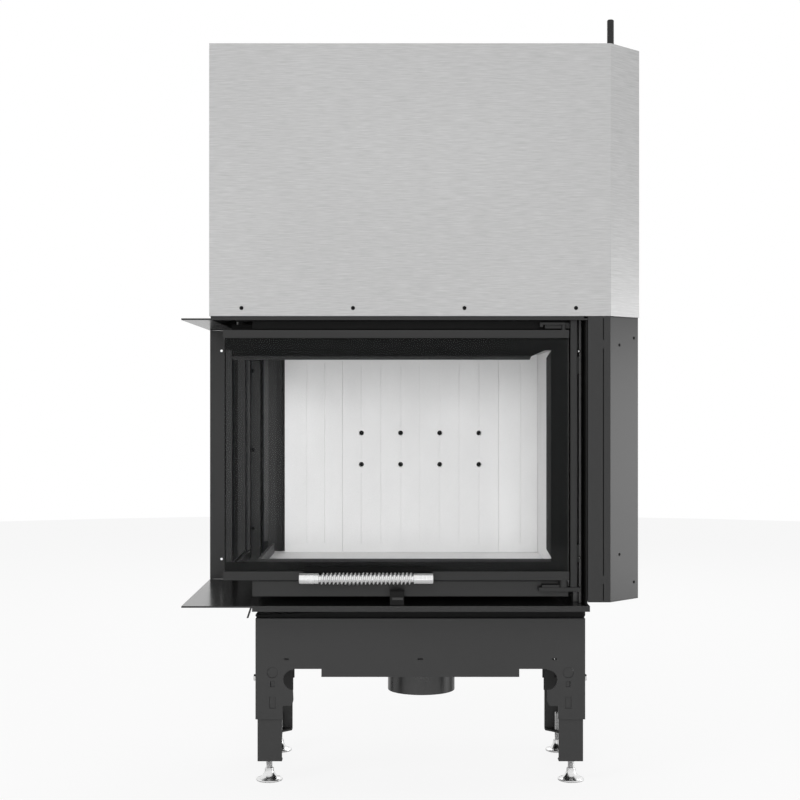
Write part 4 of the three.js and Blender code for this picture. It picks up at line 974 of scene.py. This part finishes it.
@dataclass
class SideColumn(Assembly):
    """Casing of the right column and the lift inside it."""

    casing_left: float = 288.0
    casing_front: float = 2.0
    sheet: float = 2.0 * MM
    bend: tuple[float, float] = (314.3, 315.8)
    levels: tuple[float, ...] = (327.2, 330.4, 359.3, 373.9, 769.6, 785.1, 822.5, 826.0)
    chamfer_screws: tuple[tuple[float, float], ...] = (
        (26.2, 776.5), (26.2, 409.0), (68.9, 790.0), (68.9, 357.0))
    rail_screw_heights: tuple[float, ...] = (765.9, 401.9)
    rail_screw_x: float = 275.6
    washer_y: float = 33.9
    head_y: float = 33.3
    wheel_play: float = 0.4 * MM
    wheel_bore: float = 5.3 * MM
    wheel_groove: float = 31.2 * MM
    wheel_hub: float = 11 * MM

    def build(self) -> None:
        """Folds the casing, rounds rails and bracket and turns the pulley."""
        self.casing()
        self.rail_screws()
        self.rounded("door_post", Finish.DEEP_BLACK, 0.5 * MM)
        self.rounded("guide_rail_right", Finish.RAIL, 0.4 * MM)
        self.rounded("guide_rail_left", Finish.RAIL, 0.6 * MM)
        self.rounded("pulley_bracket", Finish.GRAPHITE, 0.4 * MM)
        self.rounded("counterweight", Finish.IRON, 2.0 * MM, 3)
        self.dress("lift_cable_bend", Finish.WIRE)
        self.cable("lift_cable_door_side", "carriage")
        self.cable("lift_cable_weight_side", "counterweight")
        self.rod()
        self.pulley()

    def casing(self) -> None:
        """Folds the casing from one sheet and adds what is behind and on it."""
        mesh = self.nodes["right_column_casing"].data
        low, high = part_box("right_column_casing")
        near = [vert.co for vert in mesh.vertices if vert.co.y < low.y + 10 * MERGE]
        edge = [vert.co for vert in mesh.vertices if vert.co.x > high.x - 10 * MERGE]
        corner = Vector((max(place.x for place in near), low.y))
        turn = Vector((high.x, min(place.y for place in edge)))
        self.casing_sheet(low, high, corner, turn)
        self.casing_return()
        self.casing_screws(corner, turn)

    def casing_sheet(self, low: Vector, high: Vector, corner: Vector, turn: Vector) -> None:
        """Folds the sheet, with its slots along the first bend.

        Args:
            low: the casing's low corner.
            high: its high corner.
            corner: where the front meets the chamfer.
            turn: where the chamfer meets the side.
        """
        left, right = (at(x, 0, 0).x for x in self.bend)
        line = [Vector((at(self.casing_left, 0, 0).x, low.y)), Vector((left, low.y)),
                Vector((right, low.y)), corner, turn, Vector((high.x, high.y))]
        bm = bmesh.new()
        rows = [[bm.verts.new((*place, level * MM)) for place in line] for level in self.levels]
        for row, (lower, upper) in enumerate(zip(rows, rows[1:])):
            for i in range(len(line) - 1):
                if i != 1 or row % 2 == 0:
                    bm.faces.new((lower[i], lower[i + 1], upper[i + 1], upper[i]))
        bmesh.ops.recalc_face_normals(bm, faces=bm.faces)
        outward = sum(face.normal.y for face in bm.faces
                      if face.calc_center_median().y < corner.y + 10 * MERGE)
        bmesh.ops.solidify(bm, geom=bm.faces[:],
                           thickness=math.copysign(self.sheet, -outward))
        soften(bm, 0.4 * MM)
        self.piece("casing_sheet", bm, Finish.CASING, "right_column_casing",
                   ("right_column_casing",))

    def casing_return(self) -> None:
        """Adds the casing's return and the strip that backs its slots."""
        inside = bmesh.new()
        foot, head = self.levels[0] + 1, self.levels[-1] - 1
        add_box(inside, at(self.casing_left + 0.1, self.casing_front + 2.1, foot),
                at(self.casing_left + 1.7, 20, head))
        add_box(inside, at(self.bend[0] - 5, self.casing_front + 2.1, foot),
                at(self.bend[1] + 4, self.casing_front + 2.7, head))
        soften(inside, 0.2 * MM)
        self.piece("casing_return", inside, Finish.JET, "right_column_casing")

    def casing_screws(self, corner: Vector, turn: Vector) -> None:
        """Adds the flat screws on the chamfer.

        Args:
            corner: where the front meets the chamfer.
            turn: where the chamfer meets the side.
        """
        screws = bmesh.new()
        slope = (turn - corner).normalized()
        out = Vector((slope.y, -slope.x, 0.0))
        for along, level in self.chamfer_screws:
            place = corner + slope * along * MM
            add_screw(screws, Vector((*place, level * MM)), out, 2.7 * MM, 0.8 * MM)
        self.piece("casing_screws", screws, Finish.JET, "right_column_casing")

    def cable(self, node: str, body: str) -> None:
        """Runs a straight length of cable from the pulley to what hangs on it.

        Args:
            node: the cable that it replaces.
            body: what its lower end is held by.
        """
        low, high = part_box(node)
        middle = (low + high) / 2
        foot, head = Vector((middle.x, middle.y, low.z)), Vector((middle.x, middle.y, high.z))
        bm = bmesh.new()
        add_disc(bm, foot, UP, (high.x - low.x) / 2, high.z - low.z, sides=20)
        self.piece(f"{node}_strand", bm, Finish.WIRE, node, (node,), 60.0,
                   ("frame", body, head, foot))

    def rail_screws(self) -> None:
        """Adds the bright screws, each on its dark washer, that hold the right rail."""
        heads, washers = bmesh.new(), bmesh.new()
        for level in self.rail_screw_heights:
            add_disc(washers, at(self.rail_screw_x, self.washer_y, level), -ALONG_Y,
                     3.4 * MM, 0.6 * MM)
            add_screw(heads, at(self.rail_screw_x, self.head_y, level), -ALONG_Y,
                      1.9 * MM, 1.2 * MM)
        self.piece("rail_washers", washers, Finish.JET, "guide_rail_right")
        self.piece("rail_screws", heads, Finish.ZINC, "guide_rail_right")

    def rod(self) -> None:
        """Turns the guide rod with a chamfered end."""
        low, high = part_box("counterweight_guide_rod")
        centre = Vector(((low.x + high.x) / 2, (low.y + high.y) / 2, low.z))
        radius, length = (high.x - low.x) / 2, high.z - low.z
        bm = bmesh.new()
        spin_profile(bm, [(0, 0), (radius - 1 * MM, 0), (radius, 1 * MM),
                          (radius, length - 1.2 * MM), (radius - 1.2 * MM, length), (0, length)],
                     centre, UP)
        self.piece("guide_rod", bm, Finish.IRON, "counterweight_guide_rod",
                   ("counterweight_guide_rod",))

    def pulley(self) -> None:
        """Turns the pulley's wheel with its cable groove and hub."""
        low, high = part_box("lift_pulley")
        radius, width = (high.x - low.x) / 2, high.y - low.y - 2 * self.wheel_play
        centre = Vector(((low.x + high.x) / 2, low.y + self.wheel_play, (low.z + high.z) / 2))
        bore, groove, hub = self.wheel_bore, self.wheel_groove, self.wheel_hub
        half = width / 2
        profile = [(bore, 0.3 * MM), (bore + 0.3 * MM, 0), (hub, 0), (hub + 0.6 * MM, 1.6 * MM),
                   (groove - 4 * MM, 1.6 * MM), (groove - 3 * MM, 0), (radius - 0.6 * MM, 0),
                   (radius, 0.6 * MM), (radius - 0.2 * MM, 1.1 * MM),
                   (groove + 0.6 * MM, half - 1.4 * MM), (groove, half),
                   (groove + 0.6 * MM, half + 1.4 * MM),
                   (radius - 0.2 * MM, width - 1.1 * MM), (radius, width - 0.6 * MM),
                   (radius - 0.6 * MM, width), (groove - 3 * MM, width),
                   (groove - 4 * MM, width - 1.6 * MM), (hub + 0.6 * MM, width - 1.6 * MM),
                   (hub, width), (bore + 0.3 * MM, width), (bore, width - 0.3 * MM),
                   (bore, 0.3 * MM)]
        bm = bmesh.new()
        spin_profile(bm, profile, centre, ALONG_Y, 48)
        self.piece("pulley_wheel", bm, Finish.ZINC, "lift_pulley", ("lift_pulley",))


@dataclass
class Carriage(Assembly):
    """Upright, hinge arm and bracket, and the L-shaped beam that carry the door."""

    bracket_back: float = 28.0
    bracket_blocks: tuple[tuple[float, ...], ...] = (  # left, right, front, foot, top
        (205.0, 249.5, 8.1, 811.5, 815.5), (249.0, 258.2, 17.0, 805.5, 815.5),
        (214.0, 242.8, 13.5, 805.0, 811.8), (205.0, 210.5, 8.1, 807.6, 811.8))
    pin_place: tuple[float, float, float] = (245.9, 15.0, 804.1)
    pin_radius: float = 2.0 * MM
    pin_length: float = 7.6 * MM

    def build(self) -> None:
        """Rounds the carriage's pieces and builds the upper hinge bracket."""
        self.rounded("carriage_upright", Finish.BLACK, 0.4 * MM)
        self.rounded("hinge_arm_lower", Finish.BLACK, 0.5 * MM)
        self.upper_bracket()
        self.rounded("carriage_beam", Finish.GRAPHITE, 0.4 * MM)
        self.rounded("carriage_runner", Finish.BLACK, 0.4 * MM)

    def upper_bracket(self) -> None:
        """Builds the bracket over the leaf: plate, block and tongue round the hinge pin."""
        bm = bmesh.new()
        for left, right, front, foot, top in self.bracket_blocks:
            add_box(bm, at(left, front, foot), at(right, self.bracket_back, top))
        soften(bm, 0.4 * MM)
        add_disc(bm, at(*self.pin_place), UP, self.pin_radius, self.pin_length)
        self.piece("hinge_bracket_plate", bm, Finish.BLACK, "hinge_bracket_upper",
                   ("hinge_bracket_upper",))


@dataclass
class DoorLeaf(Assembly):
    """Two panes in their bars, with the black print, the seal and the stiles."""

    border_top: float = 20.9  # below the top bar
    border_right: float = 31.1  # from the leaf's right edge
    border_foot: float = 16.0  # above the bottom bar
    border_left: float = 2.5
    print_gap: float = 0.02
    print_thick: float = 0.12
    strand_radius: float = 2.1
    strand_reach: float = 1.5  # of a strand's middle from the rope's
    strand_lead: float = 11.0
    strand_steps: int = 12
    rope_start: tuple[float, float, float] = (-332.0, 29.6, 795.0)
    rope_length: float = 560.0

    def build(self) -> None:
        """Rounds bars and stiles and lays the print and the rope seal behind the glass."""
        self.rounded("door_top_bar", Finish.BAR, 0.8 * MM, 3)
        self.rounded("door_bottom_bar", Finish.BAR, 0.8 * MM, 3)
        self.rounded("door_right_stile", Finish.BLACK, 0.5 * MM)
        self.rounded("door_rear_stile", Finish.CASING, 0.5 * MM)
        self.rounded("door_front_glass", Finish.GLASS, 0.5 * MM)
        self.rounded("door_side_glass", Finish.GLASS, 0.5 * MM)
        self.front_print()
        self.seal()

    def front_print(self) -> None:
        """Lays the print behind the front pane: broad borders and a thin line at the left."""
        low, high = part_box("door_front_glass")
        foot, top = low.z, high.z
        near = high.y + self.print_gap * MM
        far = near + self.print_thick * MM
        stile_low, stile_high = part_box("door_rear_stile")
        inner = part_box("door_right_stile")[1].x - self.border_right * MM
        upper = stile_high.z - self.border_top * MM
        lower = stile_low.z + self.border_foot * MM
        bm = bmesh.new()
        add_box(bm, Vector((low.x, near, upper)), Vector((high.x, far, top)))
        add_box(bm, Vector((low.x, near, foot)), Vector((high.x, far, lower)))
        add_box(bm, Vector((inner, near, lower)), Vector((high.x, far, upper)))
        add_box(bm, Vector((low.x, near, lower)),
                Vector((low.x + self.border_left * MM, far, upper)))
        soften(bm, 0.03 * MM, 1)
        self.piece("glass_print", bm, Finish.PRINT, "door_front_glass")

    def seal(self) -> None:
        """Twists the rope seal behind the top bar out of two strands."""
        bm = bmesh.new()
        start = at(*self.rope_start)
        turns = int(self.rope_length / self.strand_lead)
        for side in (-1, 1):
            wind(bm, facing(ALONG_X, start + UP * side * self.strand_reach * MM),
                 self.strand_radius * MM, 8, start, self.rope_length * MM, turns,
                 self.strand_steps)
        close_ends(bm)
        self.piece("door_seal_rope", bm, Finish.SEAL, "door_top_bar", sharp=60.0)


@dataclass
class Handle(Assembly):
    """Tubular handle with a spring grip on its two posts."""

    left: float = -213.8
    length: float = 231.8
    y: float = -25.0
    z: float = 371.3
    radius: float = 9.3
    coil_start: float = 34.5
    coil_length: float = 163.0
    coil_radius: float = 8.7
    wire_radius: float = 2.2
    turns: int = 23
    steps: int = 24
    core_play: float = 0.15  # between the wire and the bar's core
    end_gap: float = 0.3  # between the wire's ends and the sleeves

    def build(self) -> None:
        """Turns the sleeves, winds the grip and rounds the bracket."""
        self.rounded("handle_bracket", Finish.JET, 0.5 * MM)
        self.sleeves()
        self.grip()

    def sleeves(self) -> None:
        """Turns the bar: two sleeves with fine end grooves and the thin core between them."""
        r, n, a = self.radius, self.length, self.coil_start
        b, core = a + self.coil_length, self.coil_radius - self.wire_radius - self.core_play
        profile = [(0, 0), (r - 1.6, 0), (r - 0.5, 0.5), (r, 1.6), (r, 26.0), (r - 0.45, 26.3),
                   (r - 0.45, 27.1), (r, 27.4), (r, a - 0.8), (r - 0.8, a), (core, a), (core, b),
                   (r - 0.8, b), (r, b + 0.8), (r, n - 1.6), (r - 0.5, n - 0.5), (r - 1.6, n),
                   (0, n)]
        bm = bmesh.new()
        spin_profile(bm, [(x * MM, z * MM) for x, z in profile], at(self.left, self.y, self.z),
                     ALONG_X, 64)
        self.piece("handle_sleeves", bm, Finish.STAINLESS, "handle_bar", ("handle_bar",))

    def grip(self) -> None:
        """Winds the grip: one wire, spun round the bar while it moves along."""
        bm = bmesh.new()
        length = self.coil_length - 2 * self.end_gap - 2 * self.wire_radius
        start = at(self.left + self.coil_start + self.end_gap + self.wire_radius, self.y, self.z)
        wind(bm, Matrix.Translation(start + ALONG_Y * self.coil_radius * MM),
             self.wire_radius * MM, 12, start, length * MM, -self.turns, self.steps)
        close_ends(bm)
        self.piece("handle_grip_spring", bm, Finish.WIRE, "handle_coil", ("handle_coil",), 60.0)


# ---------------------------------------------------------------------------- studio


@dataclass
class Studio:
    """Camera, lights, world and floor."""

    camera_place: tuple[float, float, float] = (-0.0225, -2.80205, 0.680)
    lens: float = 67.18
    ambient: float = 0.5
    floor_reach: float = 6.0
    floor_tone: float = 0.86
    floor_glow: float = 0.86  # share of plain white that the camera sees in the floor

    def camera(self) -> None:
        """Sets up the camera where the photograph was taken."""
        data = bpy.data.cameras.new("camera")
        data.lens = self.lens
        data.sensor_width = 36.0
        data.clip_start, data.clip_end = 0.05, 60.0
        camera = bpy.data.objects.new("camera", data)
        camera.location = self.camera_place
        camera.rotation_euler = (math.radians(90), 0.0, 0.0)
        bpy.context.scene.collection.objects.link(camera)
        bpy.context.scene.camera = camera
        bpy.context.scene.view_settings.view_transform = "Standard"

    def world(self) -> None:
        """Makes the surroundings white to look at and softer as light."""
        world = bpy.data.worlds.new("studio")
        world.use_nodes = True
        nodes, links = world.node_tree.nodes, world.node_tree.links
        nodes.clear()
        path = nodes.new("ShaderNodeLightPath")
        shown = path.outputs["Is Camera Ray"]
        for ray in ("Is Transmission Ray", "Is Glossy Ray"):
            either = nodes.new("ShaderNodeMath")
            either.operation = "MAXIMUM"
            links.new(shown, either.inputs[0])
            links.new(path.outputs[ray], either.inputs[1])
            shown = either.outputs[0]
        white, soft = nodes.new("ShaderNodeBackground"), nodes.new("ShaderNodeBackground")
        for shader, strength in ((white, 1.0), (soft, self.ambient)):
            shader.inputs["Color"].default_value = (1, 1, 1, 1)
            shader.inputs["Strength"].default_value = strength
        mix, out = nodes.new("ShaderNodeMixShader"), nodes.new("ShaderNodeOutputWorld")
        links.new(shown, mix.inputs[0])
        links.new(soft.outputs[0], mix.inputs[1])
        links.new(white.outputs[0], mix.inputs[2])
        links.new(mix.outputs[0], out.inputs[0])
        bpy.context.scene.world = world

    def floor(self) -> None:
        """Lays a white floor that shows only the object's shadow to the camera."""
        bm = bmesh.new()
        bmesh.ops.create_circle(bm, cap_ends=True, segments=64, radius=self.floor_reach)
        mesh = bpy.data.meshes.new("studio_floor")
        bm.to_mesh(mesh)
        bm.free()
        tree = Tree("studio_floor")
        tree.set(Roughness=0.9)
        tree.shader.inputs["Base Color"].default_value = (*(self.floor_tone,) * 3, 1.0)
        path = tree.add("ShaderNodeLightPath")
        glow = tree.add("ShaderNodeEmission")
        glow.inputs["Strength"].default_value = 1.0
        share = tree.add("ShaderNodeMath", operation="MULTIPLY")
        share.inputs[1].default_value = self.floor_glow
        tree.links.new(path.outputs["Is Camera Ray"], share.inputs[0])
        mix = tree.add("ShaderNodeMixShader")
        tree.links.new(share.outputs[0], mix.inputs[0])
        tree.links.new(tree.shader.outputs[0], mix.inputs[1])
        tree.links.new(glow.outputs[0], mix.inputs[2])
        tree.links.new(mix.outputs[0], tree.output.inputs[0])
        mesh.materials.append(tree.material)
        obj = bpy.data.objects.new("studio_floor", mesh)
        bpy.context.scene.collection.objects.link(obj)

    def lamp(self, name: str, place: tuple[float, float, float], aim: tuple[float, float, float],
             size: float, power: float, mirrored: bool = True) -> None:
        """Hangs a soft square lamp.

        Args:
            name: of the lamp.
            place: where it hangs.
            aim: the place it faces.
            size: of its side.
            power: in watts.
            mirrored: whether gloss and metal show it.
        """
        data = bpy.data.lights.new(name, "AREA")
        data.size, data.energy = size, power
        lamp = bpy.data.objects.new(name, data)
        lamp.location = place
        lamp.visible_glossy = mirrored
        turn = Vector(aim) - Vector(place)
        lamp.rotation_euler = turn.to_track_quat("-Z", "Y").to_euler()
        bpy.context.scene.collection.objects.link(lamp)

    def light(self) -> None:
        """Hangs the four soft lamps."""
        middle = (0.0, 0.0, 0.7)
        self.lamp("front_lamp", (-0.2, -4.4, 1.0), middle, 2.4, 110.0, False)
        self.lamp("key_lamp", (-2.4, -2.2, 2.3), middle, 1.6, 24.0, False)
        self.lamp("right_low_lamp", (2.4, 0.13, 0.45), (0.36, -0.1, 0.5), 0.9, 9.5)
        self.lamp("back_lamp", (0.4, 2.6, 2.6), middle, 1.8, 30.0)


def main(frame: dict) -> None:
    """Builds the studio and every sub-assembly in order.
    """
    Assembly.use(frame)
    studio = Studio()
    studio.world()
    studio.floor()
    studio.light()
    for assembly in (BaseFrame(), Legs(), AirSupply(), Platforms(), Firebox(), FrontTrim(),
                     Hood(), SideColumn(), Carriage(), DoorLeaf(), Handle()):
        LOG.info("building %s", type(assembly).__name__)
        assembly.build()


if __name__ == "__main__":
    logging.basicConfig(level=logging.INFO, format="%(name)s: %(message)s")
    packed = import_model()
    Studio().camera()
    main(packed)
